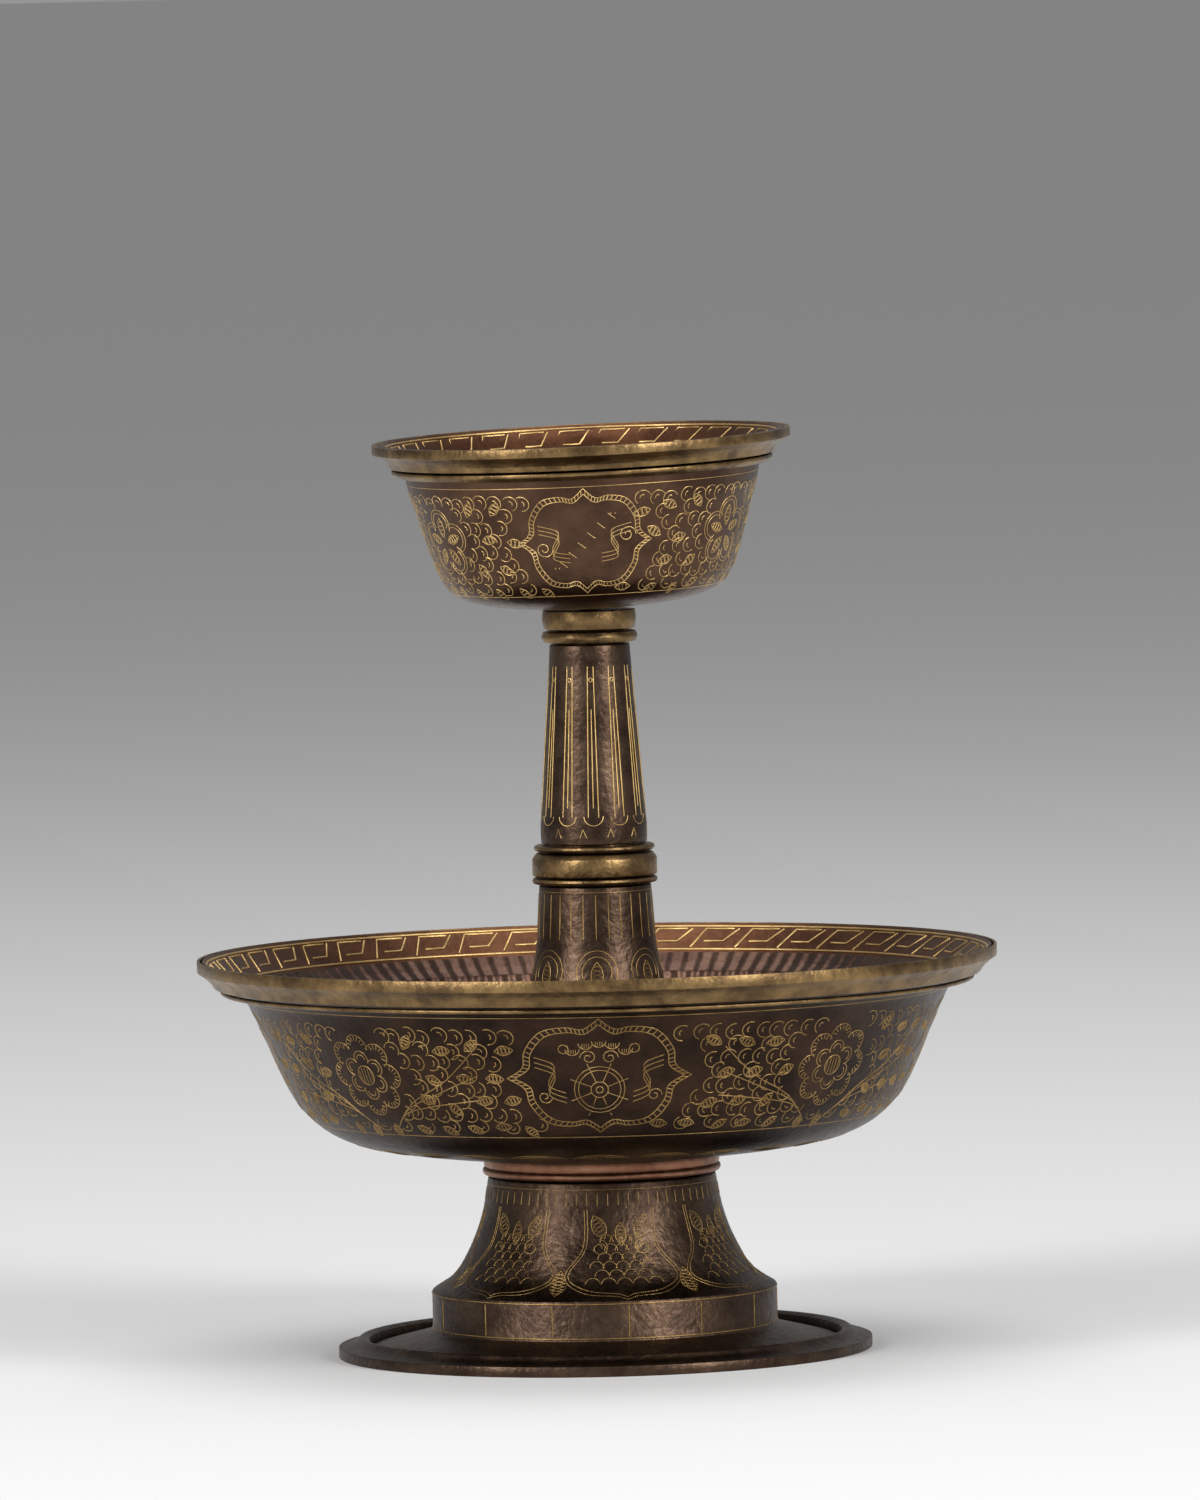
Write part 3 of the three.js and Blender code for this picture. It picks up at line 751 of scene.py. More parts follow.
cup_edge_outline = [(30.2, CUP_HEIGHT - 3.9), (31.25, CUP_HEIGHT - 3.9)]
cup_edge_curve = [(31.5, CUP_HEIGHT - 3.1), (32.4, CUP_HEIGHT - 2.2), (CUP_RADIUS, CUP_HEIGHT - 1.5)]
cup_edge_outline += smooth_run(cup_edge_curve, 5)
cup_edge_outline += [(CUP_RADIUS, CUP_HEIGHT), (33.4, CUP_HEIGHT)]
cup_edge_outline += [(32.65, CUP_HEIGHT - 0.95), (31.4, CUP_HEIGHT - 2.3)]
cup_edge = revolve("cup_edge", cup_edge_outline, WIDE_SIDES, LEAN, bevel=0.08)
finish_piece(cup_edge, "goblet", "cup_rim_band", old_brass)

ledge_outline = [(29.2, CUP_HEIGHT - 5.6), (30.3, CUP_HEIGHT - 5.4), (LEDGE_OUTER, CUP_HEIGHT - 4.8)]
ledge_outline += [(LEDGE_OUTER, CUP_HEIGHT - 4.25), (29.95, CUP_HEIGHT - 4.25)]
cup_ledge = revolve("cup_ledge_wire", ledge_outline, WIDE_SIDES, LEAN, bevel=0.15)
finish_piece(cup_ledge, "goblet", "cup_ledge_bead", old_brass)
print("edge band and ledge of the cup made")

# %% [markdown]
# Inside the cup the rod ends in a low round head. The rod, its nut and the plate in the goblet's
# foot are hidden, so their CAD nodes stay as they are and only get a metal.

# %% Rivet head and hidden pieces
HEAD_LOW = 1.5

dome = smooth_run([(4.2, HEAD_LOW), (3.9, 2.3), (2.6, 2.9), (0, 3.1)], 6)
head = revolve("rivet_head", [(0, HEAD_LOW)] + dome, SLIM_SIDES, LEAN)
finish_piece(head, "goblet", "tie_rod_head", old_brass)
for node, material in (("tie_rod", dull_iron), ("tie_rod_nut", dull_iron), ("foot_plate", red_copper)):
    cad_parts[node].data.materials.clear()
    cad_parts[node].data.materials.append(material)
print("rivet head made, three hidden pieces given their metal")

# %% [markdown]
# The chased lines could be an image or a bump, but then they would vanish from the outline and
# from the mesh. Here they are thin raised strokes. A Geometry Nodes tree turns laid lines into
# strokes, with one named input for their half width and one for their metal.

# %% Geometry Nodes tree for chased strokes
STROKE_SIDES = 4


def stroke_tree():
    tree = bpy.data.node_groups.new("chased_strokes", "GeometryNodeTree")
    new_socket(tree, "Lines", "NodeSocketGeometry", "INPUT")
    new_socket(tree, "Half Width", "NodeSocketFloat", "INPUT")
    new_socket(tree, "Metal", "NodeSocketMaterial", "INPUT")
    new_socket(tree, "Strokes", "NodeSocketGeometry", "OUTPUT")
    nodes = tree.nodes
    join = tree.links.new
    given = nodes.new("NodeGroupInput")
    result = nodes.new("NodeGroupOutput")
    curve = nodes.new("GeometryNodeMeshToCurve")
    section = nodes.new("GeometryNodeCurvePrimitiveCircle")
    section.inputs["Resolution"].default_value = STROKE_SIDES
    sweep = nodes.new("GeometryNodeCurveToMesh")
    sweep.inputs["Fill Caps"].default_value = True
    real = nodes.new("GeometryNodeRealizeInstances")
    paint = nodes.new("GeometryNodeSetMaterial")
    join(given.outputs["Lines"], curve.inputs["Mesh"])
    join(given.outputs["Half Width"], section.inputs["Radius"])
    join(curve.outputs["Curve"], sweep.inputs["Curve"])
    join(section.outputs["Curve"], sweep.inputs["Profile Curve"])
    join(sweep.outputs["Mesh"], real.inputs["Geometry"])
    join(real.outputs["Geometry"], paint.inputs["Geometry"])
    join(given.outputs["Metal"], paint.inputs["Material"])
    join(paint.outputs["Geometry"], result.inputs["Strokes"])
    return tree


STROKES = stroke_tree()
print("geometry tree:", STROKES.name)

# %% [markdown]
# Each motif is drawn flat in millimetres, as a pattern on paper, then laid on the wall: the angle
# goes round the axis, and the distance along the outline goes up it. A Shrinkwrap modifier could
# press lines on the wall, but it moves them sideways, and this way their place is exact.

# %% Lay a point on a wall
SUNK = 0.06


def lay(run, azimuth, along, side, matrix):
    """A point of the wall: azimuth in radians, along in mm from the run's start."""
    left = along
    k = 0
    while k < len(run) - 2:
        step = math.dist(run[k], run[k + 1])
        if left <= step:
            break
        left -= step
        k += 1
    a = Vector(run[k])
    b = Vector(run[k + 1])
    p = a + (b - a).normalized() * left
    outward = Vector(((b - a).y, -(b - a).x)).normalized() * side
    p -= outward * SUNK
    point = Vector((p.x * math.cos(azimuth) * MM, p.x * math.sin(azimuth) * MM, p.y * MM))
    return matrix @ point if matrix else point


print("strokes are sunk by", SUNK, "mm")

# %% [markdown]
# The laid lines become a mesh of loose edges that carries the tree as a modifier. The evaluated
# result is copied into a plain mesh, because the export needs real faces, and the source goes.

# %% Chase a wall
def chase(name, body, slot, run, lines, half_width, side=1, matrix=None, gold=dull_line):
    mesh = bpy.data.meshes.new(name + "_lines")
    points = []
    edges = []
    for line in lines:
        start = len(points)
        points += [lay(run, azimuth, along, side, matrix) for azimuth, along in line]
        edges += [(k, k + 1) for k in range(start, len(points) - 1)]
    mesh.from_pydata(points, edges, [])
    source = bpy.data.objects.new(name + "_lines", mesh)
    bpy.context.scene.collection.objects.link(source)
    modifier = source.modifiers.new("strokes", "NODES")
    modifier.node_group = STROKES
    identifiers = {s.name: s.identifier for s in STROKES.interface.items_tree if s.in_out == "INPUT"}
    modifier[identifiers["Half Width"]] = half_width * MM
    modifier[identifiers["Metal"]] = gold
    graph = bpy.context.evaluated_depsgraph_get()
    made = bpy.data.meshes.new_from_object(source.evaluated_get(graph))
    bpy.data.objects.remove(source)
    piece = bpy.data.objects.new(name, made)
    bpy.context.scene.collection.objects.link(piece)
    finish_piece(piece, body, None, gold)
    print(name, len(lines), "strokes,", len(made.polygons), "faces")


# %% [markdown]
# A chaser works with few punches, and nearly all motifs come from arcs, curls and leaves. They
# could be traced by hand, but short functions can be reused at any size. Each returns its lines.

# %% Arcs, curls and leaves
CURL_STEPS = 16
HATCH_PITCH = 0.62


def arc(x, y, radius, start, end, steps=9):
    line = []
    for i in range(steps + 1):
        angle = math.radians(start + (end - start) * i / steps)
        line.append((x + radius * math.cos(angle), y + radius * math.sin(angle)))
    return line


def curl(x, y, radius, start, turns):
    line = []
    for i in range(CURL_STEPS + 1):
        t = i / CURL_STEPS
        angle = math.radians(start + 360 * turns * t)
        reach = radius * (1 - 0.8 * t)
        line.append((x + reach * math.cos(angle), y + reach * math.sin(angle)))
    return line


def turned_lines(lines, x, y, angle):
    c = math.cos(math.radians(angle))
    s = math.sin(math.radians(angle))
    return [[(x + p * c - q * s, y + p * s + q * c) for p, q in line] for line in lines]


def leaf(length, width):
    """A pointed leaf along +x with cross-hatching."""
    upper = [(0, 0), (length * 0.35, width * 0.5), (length * 0.75, width * 0.4), (length, 0)]
    lower = [(x, -y) for x, y in upper]
    lines = [smooth_run(upper, 3), smooth_run(lower, 3)]
    count = int(length / HATCH_PITCH)
    for i in range(1, count):
        t = i / count
        half = width * 0.45 * math.sin(math.pi * t) ** 0.8
        lines.append([(length * t - half * 0.3, -half), (length * t + half * 0.3, half)])
        lines.append([(length * t + half * 0.3, -half), (length * t - half * 0.3, half)])
    return lines


print("arcs, curls and leaves ready")

# %% [markdown]
# A lobed panel with a hatched double border frames the main motif, and on the dish that is a
# wheel of eight spokes. Only a quarter of the panel's outline is written, and it is mirrored.

# %% Lobed panel and wheel
SPOKES = 8


def lobed_panel(half_width, half_height):
    quarter = [(0, 1), (0.16, 0.82), (0.34, 0.86), (0.6, 0.78), (0.78, 0.46), (0.82, 0.18), (1, 0)]
    lines = []
    for sx in (1, -1):
        for sy in (1, -1):
            outer = smooth_run([(sx * half_width * x, sy * half_height * y) for x, y in quarter], 4)
            inner = [(0.92 * x, 0.9 * y) for x, y in outer]
            lines += [outer, inner]
            lines += [[outer[k], inner[k]] for k in range(1, len(outer) - 1)]
    return lines


def wheel(radius):
    lines = [arc(0, 0, radius * share, 0, 360, 20) for share in (1, 0.84, 0.34, 0.14)]
    for k in range(SPOKES):
        c = math.cos(math.radians(45 * k + 22.5))
        s = math.sin(math.radians(45 * k + 22.5))
        lines.append([(c * radius * 0.34, s * radius * 0.34), (c * radius * 1.22, s * radius * 1.22)])
    return lines


print("lobed panel and wheel ready")

# %% [markdown]
# The peony is the large flower between the panels: a hatched heart, a ring of close petals, and
# a ring of broad petals with ticks along their edges. Rings of arcs give it in two loops.

# %% Peony
CLOSE_PETALS = 6
BROAD_PETALS = 8


def around(angle, radius, share):
    """A point at a share of the radius, at an angle in degrees."""
    turn = math.radians(angle)
    return (math.cos(turn) * radius * share, math.sin(turn) * radius * share)


def blossom(radius):
    lines = [arc(0, 0, radius * 0.24, 0, 360, 14)]
    for k in range(-2, 3):
        half = radius * 0.2 * math.cos(k * 0.5)
        lines.append([(k * radius * 0.09, -half), (k * radius * 0.09, half)])
    for k in range(CLOSE_PETALS):
        angle = 60 * k + 30
        x, y = around(angle, radius, 0.4)
        lines.append(arc(x, y, radius * 0.21, angle - 115, angle + 115))
        lines.append(arc(x, y, radius * 0.12, angle - 90, angle + 90, 5))
    for k in range(BROAD_PETALS):
        angle = 45 * k
        x, y = around(angle, radius, 0.72)
        lines.append(arc(x, y, radius * 0.3, angle - 105, angle + 105, 10))
        for j in range(-3, 4):
            tick = [around(angle + 24 * j, radius, share) for share in (0.16, 0.27)]
            lines.append([(x + p, y + q) for p, q in tick])
    return lines


print("peony ready")

# %% [markdown]
# Round lobes and hatched leaves fill the ground and spread from the flower. Rows of them would
# look stamped, so each is moved and turned a little by a random draw with a fixed seed. Ovals
# keep the ground clear where a flower or a panel stands.

# %% Foliage
ROW_SHARE = 0.88


def foliage(reach, half_height, pitch, clear, seed):
    chooser = random.Random(seed)
    lines = []
    rows = int(2 * half_height / (pitch * ROW_SHARE))
    columns = int(2 * reach / pitch)
    for row in range(rows):
        for column in range(columns):
            x = -reach + (column + 0.5 * (row % 2)) * pitch + chooser.uniform(-0.15, 0.15) * pitch
            y = -half_height + (row + 0.62) * pitch * ROW_SHARE + chooser.uniform(-0.12, 0.12) * pitch
            if any(math.hypot((x - a) / w, (y - b) / h) < 1 for a, b, w, h in clear):
                continue
            heading = math.degrees(math.atan2(y, x)) + chooser.uniform(-35, 35)
            if (row + 2 * column) % 4 == 0:
                lines += turned_lines(leaf(pitch * 1.15, pitch * 0.6), x, y, heading)
                continue
            lines.append(arc(x, y, pitch * 0.52, heading - 105, heading + 105, 8))
            lines.append(arc(x, y, pitch * 0.2, heading - 60, heading + 60, 3))
    return lines


print("foliage ready")

# %% [markdown]
# A flat motif goes round the wall by dividing its x by the wall's radius there. Plain grooves and
# the key border go all the way round, so they are written in angles from the start.

# %% Round the wall
FRONT = -math.pi / 2
GROOVE_STEPS = 180


def on_wall(lines, azimuth, along, radius):
    return [[(azimuth + x / radius, along + y) for x, y in line] for line in lines]


def groove(along, steps=GROOVE_STEPS):
    return [[(2 * math.pi * i / steps, along) for i in range(steps)] + [(2 * math.pi, along)]]


def key_border(count, low, high, lean):
    """Key fret: an upright with a bar beside it, and a low bar that turns up."""
    lines = []
    pitch = 2 * math.pi / count
    bar_height = low + (high - low) * 0.32
    for k in range(count):
        start = pitch * k
        lines.append([(start, low), (start + lean, high), (start + lean - pitch * 0.6, high)])
        inner = start - pitch * 0.28
        turn_up = inner - pitch * 0.42
        lines.append([(inner, bar_height), (turn_up, bar_height), (turn_up + lean, high)])
    return lines


def length_to(run, height):
    """Distance along the run, from its start, to where it reaches the height."""
    total = 0
    for a, b in zip(run, run[1:]):
        if b[1] > height:
            return total + (height - a[1]) / (b[1] - a[1]) * math.dist(a, b)
        total += math.dist(a, b)
    return total


print("grooves and key border ready")

# %% [markdown]
# The dish carries four lobed panels, and the front one faces the viewer. In each stand a wheel,
# a row of bells over it, curls and ribbons. Left and right are mirrored by the sign of the side.

# %% Panel of the dish
DISH_UNROLLED = 54
BELL_PITCH = 2.1

wall_top = length_to(dish_wall_run, DISH_LOW + 26.4)
wall_foot = length_to(dish_wall_run, DISH_LOW + 7.6)
wall_middle = (wall_top + wall_foot) / 2
wall_half = (wall_top - wall_foot) / 2


def dish_panel():
    lines = lobed_panel(15.2, wall_half)
    lines += turned_lines(wheel(4.2), 0, -2.2, 0)
    for j in range(-2, 3):
        drop = 6.6 - 0.35 * j * j
        lines.append(arc(j * BELL_PITCH, drop, 1.15, 180, 360, 7))
        for i in (-1.5, -0.5, 0.5, 1.5):
            x = j * BELL_PITCH + i * 0.35
            lines.append([(x, drop - 0.1), (x, drop - 0.8)])
    for side in (1, -1):
        lines.append(curl(side * 1.7, 3.6, 1.4, 90 - side * 90, side * 1.4))
        for j in range(3):
            rise = j * 0.9
            ribbon = [(side * 5.6, rise - 4.5), (side * 8.4, rise - 3.0)]
            ribbon += [(side * 7.2, rise + 0.4), (side * 10.4, rise + 2.0)]
            lines.append(smooth_run(ribbon, 4))
        lines.append(curl(side * 9.2, -3.4, 1.3, 0, side * 1.3))
        lines.append(arc(side * 5.6, 5.2, 0.8, 0, 360, 10))
    return lines


print("panel of the dish,", round(2 * wall_half, 1), "mm high")

# %% [markdown]
# Between the panels stands a peony in its foliage, with stalks that rise from below. The two
# neighbouring panels are ovals to keep clear of, as the flower itself is.

# %% Peony field of the dish
PANEL_AWAY = 42.4
PANEL_CLEAR = 17.0
FLOWER_CLEAR = 8.6


def dish_flower(seed):
    lines = blossom(7.2)
    clear = [(0, 0, FLOWER_CLEAR, FLOWER_CLEAR)]
    clear += [(side * PANEL_AWAY, 0, PANEL_CLEAR, wall_half + 0.6) for side in (1, -1)]
    lines += foliage(36, wall_half, 2.7, clear, seed)
    for side in (1, -1):
        for j in range(3):
            stalk = [(side * 2, -wall_half), (side * (6 + j), j - 7.0)]
            stalk += [(side * (12 + 2 * j), 2.4 * j - 5.4), (side * 22, 4.4 * j - 4)]
            lines.append(smooth_run(stalk, 5))
    return lines


print("peony field ready")

# %% Chasing on the dish wall
DISH_REPEATS = 4
DISH_SEED = 11
WALL_LINE = 0.12

dish_lines = groove(wall_top + 0.4) + groove(wall_foot - 1.2)
for k in range(DISH_REPEATS):
    turn = FRONT + math.pi / 2 * k
    dish_lines += on_wall(dish_panel(), turn, wall_middle, DISH_UNROLLED)
    dish_lines += on_wall(dish_flower(DISH_SEED + k), turn + math.pi / 4, wall_middle, DISH_UNROLLED)
chase("dish_wall_chasing", "dish", "brass", dish_wall_run, dish_lines, WALL_LINE)

# %% [markdown]
# The underside turns away from the viewer and has only a ring of petals, each a double arc over
# a few short lines. One petal is drawn and repeated round the axis.

# %% Chasing on the dish's underside
UNDER_PETALS = 24
UNDER_UNROLLED = 40
UNDER_LINE = 0.14

under_middle = length_to(dish_wall_run, DISH_LOW + 3.2)
under_petal = [arc(0, -5.2, 5.6, 35, 145, 12), arc(0, -5.2, 4.6, 40, 140, 10)]
under_petal += [[(j * 0.8, -3.8), (j * 0.9, -1.6)] for j in range(-2, 3)]
under_lines = []
for k in range(UNDER_PETALS):
    turn = 2 * math.pi * k / UNDER_PETALS
    under_lines += on_wall(under_petal, turn, under_middle, UNDER_UNROLLED)
chase("dish_underside_chasing", "dish", "brass", dish_wall_run, under_lines, UNDER_LINE)

# %% [markdown]
# On the sloping lip runs the key border between two grooves, rubbed bright. The lip's run is its
# upper side, so the strokes lie on the other side of the run than on the wall.

# %% Key border of the dish
DISH_KEYS = 48
DISH_KEY_LEAN = -math.radians(2.0)
DISH_BORDER_LINE = 0.22

lip_low = length_to(dish_lip_run, DISH_HIGH - 4.1)
lip_high = length_to(dish_lip_run, DISH_HIGH - 0.55)
lip_lines = groove(lip_low) + groove(lip_high)
lip_lines += key_border(DISH_KEYS, lip_low + 0.45, lip_high - 0.6, DISH_KEY_LEAN)
on_dish_lip = {"side": -1, "gold": bright_line}
chase("dish_key_border", "dish", "brass", dish_lip_run, lip_lines, DISH_BORDER_LINE, **on_dish_lip)

# %% [markdown]
# The cup repeats the scheme at its own scale with three lobed panels, one of them at the front.
# In each a ticked staff slants between two bundles of ribbon.

# %% Panel of the cup
CUP_UNROLLED = 26
STAFF_HALF = 0.35
TICK_PITCH = 1.6

cup_top = length_to(cup_wall_run, CUP_HEIGHT - 7.0)
cup_foot = length_to(cup_wall_run, 3.6)
cup_middle = (cup_top + cup_foot) / 2
cup_half = (cup_top - cup_foot) / 2


def cup_panel():
    lines = lobed_panel(11.0, cup_half)
    for offset in (-STAFF_HALF, STAFF_HALF):
        lines.append([(-5 + offset, -4.4), (4.6 + offset, 4.8)])
    for j in range(6):
        along = TICK_PITCH * j
        lines.append([(along - 4.4, along - 3.2), (along - 3.2, along - 4.2)])
    for side in (1, -1):
        for j in range(3):
            rise = j * 0.7
            ribbon = [(side * 2.6, rise - 3.4), (side * 5.4, rise - 2.6)]
            ribbon += [(side * 4.2, rise + 0.4), (side * 7.4, rise + 1.6)]
            lines.append(smooth_run(ribbon, 5))
        lines.append(curl(side * 6.8, side, 1.5, 0, side * 1.5))
    return lines


print("panel of the cup,", round(2 * cup_half, 1), "mm high")

# %% [markdown]
# Between the panels a round flower of five double lobes stands in foliage. The cup is handled
# more than the dish, so its lines are the bright gold.

# %% Chasing on the cup
CUP_REPEATS = 3
CUP_SEED = 31
CUP_LINE = 0.11
CUP_GROOVE_STEPS = 120


def cup_flower(seed):
    lines = []
    for j in range(5):
        angle = 72 * j + 90
        x = 3.4 * math.cos(math.radians(angle))
        y = 3.4 * math.sin(math.radians(angle))
        lines.append(arc(x, y, 2.5, angle - 120, angle + 120, 12))
        lines.append(arc(x, y, 1.9, angle - 110, angle + 110, 10))
        lines += turned_lines(leaf(3.4, 1.5), x * 0.3, y * 0.3, angle)
    clear = [(0, 0, 5.6, 5.6)]
    clear += [(side * 27.2, 0, 12.2, cup_half + 0.5) for side in (1, -1)]
    return lines + foliage(24, cup_half, 2.4, clear, seed)


cup_lines = groove(cup_top + 0.3, CUP_GROOVE_STEPS) + groove(cup_foot - 0.6, CUP_GROOVE_STEPS)
for k in range(CUP_REPEATS):
    turn = FRONT + 2 * math.pi / CUP_REPEATS * k
    cup_lines += on_wall(cup_panel(), turn, cup_middle, CUP_UNROLLED)
    cup_lines += on_wall(cup_flower(CUP_SEED + k), turn + math.pi / 3, cup_middle, CUP_UNROLLED)
on_cup_wall = {"matrix": LEAN, "gold": bright_line}
chase("cup_wall_chasing", "goblet", "brass", cup_wall_run, cup_lines, CUP_LINE, **on_cup_wall)

# %% Key border of the cup
CUP_KEYS = 29
CUP_KEY_LEAN = -math.radians(3.0)
CUP_BORDER_LINE = 0.2

cup_lip_low = length_to(cup_lip_run, CUP_HEIGHT - 4.6)
cup_lip_high = length_to(cup_lip_run, CUP_HEIGHT - 0.5)
border_lines = groove(cup_lip_low, CUP_GROOVE_STEPS) + groove(cup_lip_high, CUP_GROOVE_STEPS)
border_lines += key_border(CUP_KEYS, cup_lip_low + 0.45, cup_lip_high - 0.6, CUP_KEY_LEAN)
on_cup_lip = {"side": -1, "matrix": LEAN, "gold": bright_line}
chase("cup_key_border", "goblet", "brass", cup_lip_run, border_lines, CUP_BORDER_LINE, **on_cup_lip)

# %% [markdown]
# Twelve long petals run up the upper stem, each with a midrib, a round foot, a dot near its tip
# and a small tick beside it. The stem is slim, so the petals are nearly straight lines.

# %% Chasing on the upper stem
UPPER_PETALS = 12
UPPER_UNROLLED = 8

upper_petal = [[(offset, 4.5), (offset * 0.7, 29.0)] for offset in (-0.8, 0.8)]
upper_petal += [[(0, 6.0), (0, 22.0)]]
upper_petal += [arc(0, 4.6, 1.5, 180, 360, 8), arc(0, 26.8, 0.35, 0, 360, 8)]
upper_petal += [[(-2.1, 1.2), (-1.6, 2.6), (-1.1, 1.2)]]
upper_lines = []
for k in range(UPPER_PETALS):
    turn = FRONT + 2 * math.pi * k / UPPER_PETALS
    upper_lines += on_wall(upper_petal, turn, 0, UPPER_UNROLLED)
chase("stem_upper_chasing", "goblet", "brass", upper_run, upper_lines, WALL_LINE, gold=bright_line)

# %% [markdown]
# A fringe of short lines hangs below the knop, and seven petals with a hatched leaf in each stand
# under it. All heights are taken down from the fringe, so they follow the stem's length.

# %% Chasing on the lower stem
FRINGE_COUNT = 28
FRINGE_UNROLLED = 9.5
LOWER_PETALS = 7
LOWER_UNROLLED = 11
STALK_FOOT = 34
STALK_HEAD = 17

fringe_top = length_to(lower_run, STEM_MID - 0.8)
lower_lines = groove(fringe_top, 64)
for k in range(FRINGE_COUNT):
    turn = 2 * math.pi * k / FRINGE_COUNT
    lower_lines += on_wall([[(0, fringe_top - 7.6), (0, fringe_top - 0.4)]], turn, 0, FRINGE_UNROLLED)
lower_petal = [arc(0, fringe_top - 13, 3.6, -30, 210, 14), arc(0, fringe_top - 13, 2.6, -20, 200, 12)]
lower_petal += turned_lines(leaf(4.2, 2.0), 0, fringe_top - 15.5, 90)
for foot_x, head_x in ((0, 0), (-1, -0.8), (1, 0.8)):
    lower_petal.append([(foot_x, fringe_top - STALK_FOOT), (head_x, fringe_top - STALK_HEAD)])
for k in range(LOWER_PETALS):
    turn = FRONT + 2 * math.pi * k / LOWER_PETALS
    lower_lines += on_wall(lower_petal, turn, 0, LOWER_UNROLLED)
chase("stem_lower_chasing", "goblet", "brass", lower_run, lower_lines, WALL_LINE)

# %% [markdown]
# On the foot a fringe runs under the wire, and seven large petals hang over the flare. A petal
# is a double edge, two leaves and two curls at its top, rows of scallops like scales, and a leaf
# in the middle. Its edge is written in angles, because it narrows as the flare does.

# %% Petals of the foot
FOOT_PETALS = 7
FOOT_START = FRONT + math.radians(8)

flare_length = length_to(flare, FOOT_TOP - 0.01)


def petal_edge(turn, side, inset):
    places = [
        (17 - inset * 2, flare_length - 4.2),
        (17 - inset * 2, flare_length - 10.5),
        (24 - inset * 2, flare_length - 15.5),
        (15 - inset * 2, 2.2 + inset),
        (4 - inset, 1.4 + inset),
        (0, 0.5 + inset),
    ]
    return smooth_run([(turn + side * math.radians(angle), along) for angle, along in places], 4)


def foot_petal(turn):
    lines = []
    for side in (1, -1):
        lines += [petal_edge(turn, side, inset) for inset in (0, 0.7)]
        side_leaf = turned_lines(leaf(4.2, 2.2), side * 2.6, flare_length - 9.0, 90 - side * 25)
        lines += on_wall(side_leaf, turn, 0, 20)
        lines += on_wall([curl(side * 3.4, flare_length - 10.6, 1.5, 90, side * 1.3)], turn, 0, 20)
    for row in range(6):
        for j in range(-2, 3 - row % 2):
            x = (j + 0.5 * (row % 2)) * 2.6 * (1 - 0.06 * row)
            lines += on_wall([arc(x, 4.4 + row * 1.5, 1.25, 0, 180, 6)], turn, 0, 24)
    return lines + on_wall(turned_lines(leaf(4.0, 1.8), 0, 11.2, 90), turn, 0, 22)


print("petal of the foot ready, on", round(flare_length, 1), "mm of flare")

# %% Chasing on the foot
FOOT_FRINGE = 70
FOOT_LINE = 0.11

foot_lines = groove(flare_length - 1.0, 96)
for k in range(FOOT_FRINGE):
    turn = 2 * math.pi * k / FOOT_FRINGE
    foot_lines.append([(turn, flare_length - 3.6), (turn, flare_length - 1.6)])
for k in range(FOOT_PETALS):
    turn = FOOT_START + 2 * math.pi * k / FOOT_PETALS
    foot_lines += foot_petal(turn)
    between = turn + math.pi / FOOT_PETALS
    foot_lines += on_wall(turned_lines(leaf(5.4, 2.6), 0, 1.6, 90), between, 0, 25)
chase("foot_chasing", "dish", "brass", flare, foot_lines, FOOT_LINE)

# %% [markdown]
# The drum has two grooves and fourteen uprights between them, two for each petal above. They are
# straight lines on a straight wall, so they need no flat motif.

# %% Chasing on the drum
DRUM_LINE = 0.16
DRUM_UPRIGHTS = 14

drum_run = [(DRUM_RADIUS, 4.3), (DRUM_RADIUS, DRUM_TOP - 0.2)]
drum_lines = groove(0.3) + groove(5.9)
for k in range(DRUM_UPRIGHTS):
    turn = FOOT_START + 2 * math.pi * k / DRUM_UPRIGHTS
    drum_lines.append([(turn, 0.6), (turn, 5.6)])
chase("drum_chasing", "dish", "red_copper", drum_run, drum_lines, DRUM_LINE)

# %% [markdown]
# The floor is plain and pale, so nothing competes with the dark metal.

# %% Floor
FLOOR = 90
FLOOR_GREY = 0.72
FLOOR_ROUGHNESS = 0.9

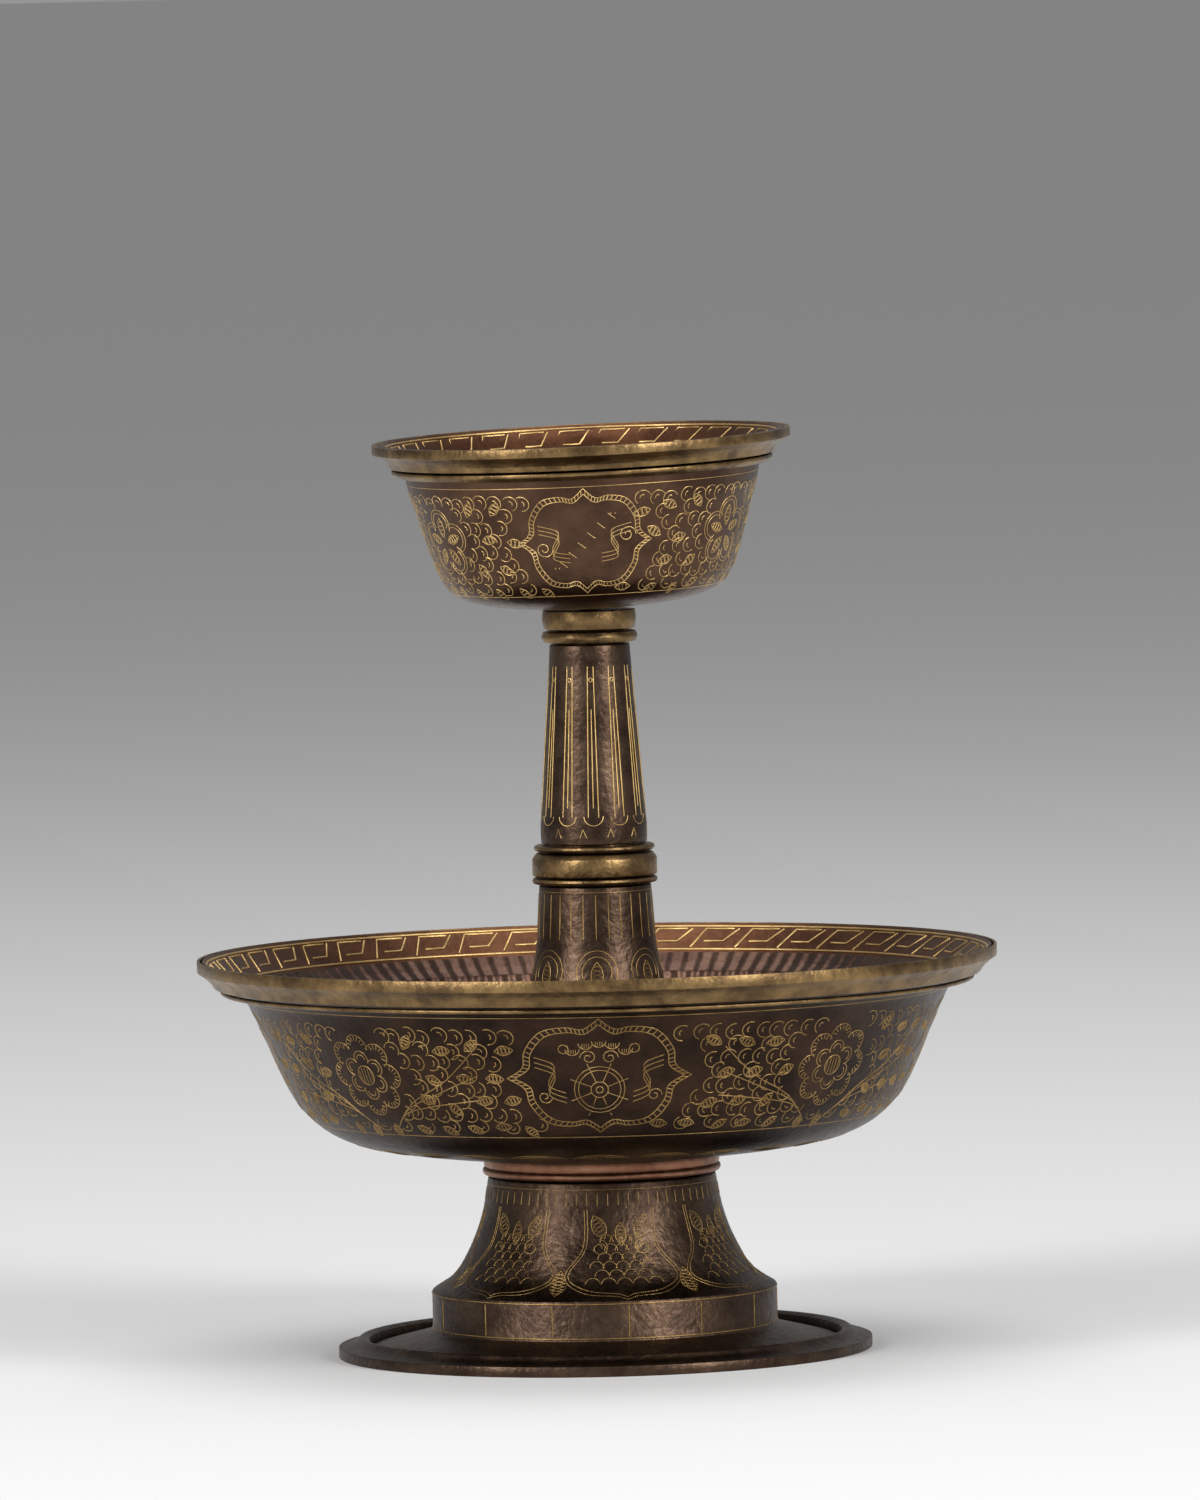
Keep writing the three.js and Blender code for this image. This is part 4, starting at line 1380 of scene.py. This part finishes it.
corners = [(-FLOOR, -FLOOR, 0), (FLOOR, -FLOOR, 0), (FLOOR, FLOOR, 0), (-FLOOR, FLOOR, 0)]
floor_mesh = bpy.data.meshes.new("floor")
floor_mesh.from_pydata(corners, [], [(0, 1, 2, 3)])
floor = bpy.data.objects.new("floor", floor_mesh)
bpy.context.scene.collection.objects.link(floor)
pale = bpy.data.materials.new("pale_floor")
pale.use_nodes = True
pale_surface = pale.node_tree.nodes["Principled BSDF"]
pale_surface.inputs["Base Color"].default_value = (FLOOR_GREY, FLOOR_GREY, FLOOR_GREY, 1)
pale_surface.inputs["Roughness"].default_value = FLOOR_ROUGHNESS
floor_mesh.materials.append(pale)
print("floor", 2 * FLOOR, "m wide")

# %% [markdown]
# Polished vessels are lit by what they mirror. One lamp in front would put a bright line on the
# middle of each wall, where the photograph is dark. So two tall soft boxes stand left and right,
# a faint one hangs above, and an even grey world fills the shadows.

# %% Lamps and world
BOX_WIDTH = 0.45
BOX_HEIGHT = 1.1
SIDE_POWER = 17
TOP_SIZE = 1.0
TOP_POWER = 8
WORLD_GREY = 0.8
WORLD_STRENGTH = 0.38
LIT_POINT = Vector((0, 0, 0.08))


def soft_box(name, place, width, height, power):
    lamp = bpy.data.lights.new(name, "AREA")
    lamp.shape = "RECTANGLE"
    lamp.size = width
    lamp.size_y = height
    lamp.energy = power
    holder = bpy.data.objects.new(name, lamp)
    holder.location = place
    holder.rotation_euler = (LIT_POINT - Vector(place)).to_track_quat("-Z", "Y").to_euler()
    bpy.context.scene.collection.objects.link(holder)


soft_box("box_left", (-0.95, -0.95, 0.75), BOX_WIDTH, BOX_HEIGHT, SIDE_POWER)
soft_box("box_right", (0.95, -0.95, 0.75), BOX_WIDTH, BOX_HEIGHT, SIDE_POWER)
soft_box("box_top", (0, 0.3, 1.5), TOP_SIZE, TOP_SIZE, TOP_POWER)
world = bpy.data.worlds.new("world")
bpy.context.scene.world = world
world.use_nodes = True
background = world.node_tree.nodes["Background"]
background.inputs["Color"].default_value = (WORLD_GREY, WORLD_GREY, WORLD_GREY, 1)
background.inputs["Strength"].default_value = WORLD_STRENGTH
print("three soft boxes and the world set")

# %% [markdown]
# The last cell only marks the end of the script.

# %% End
print("scene built")
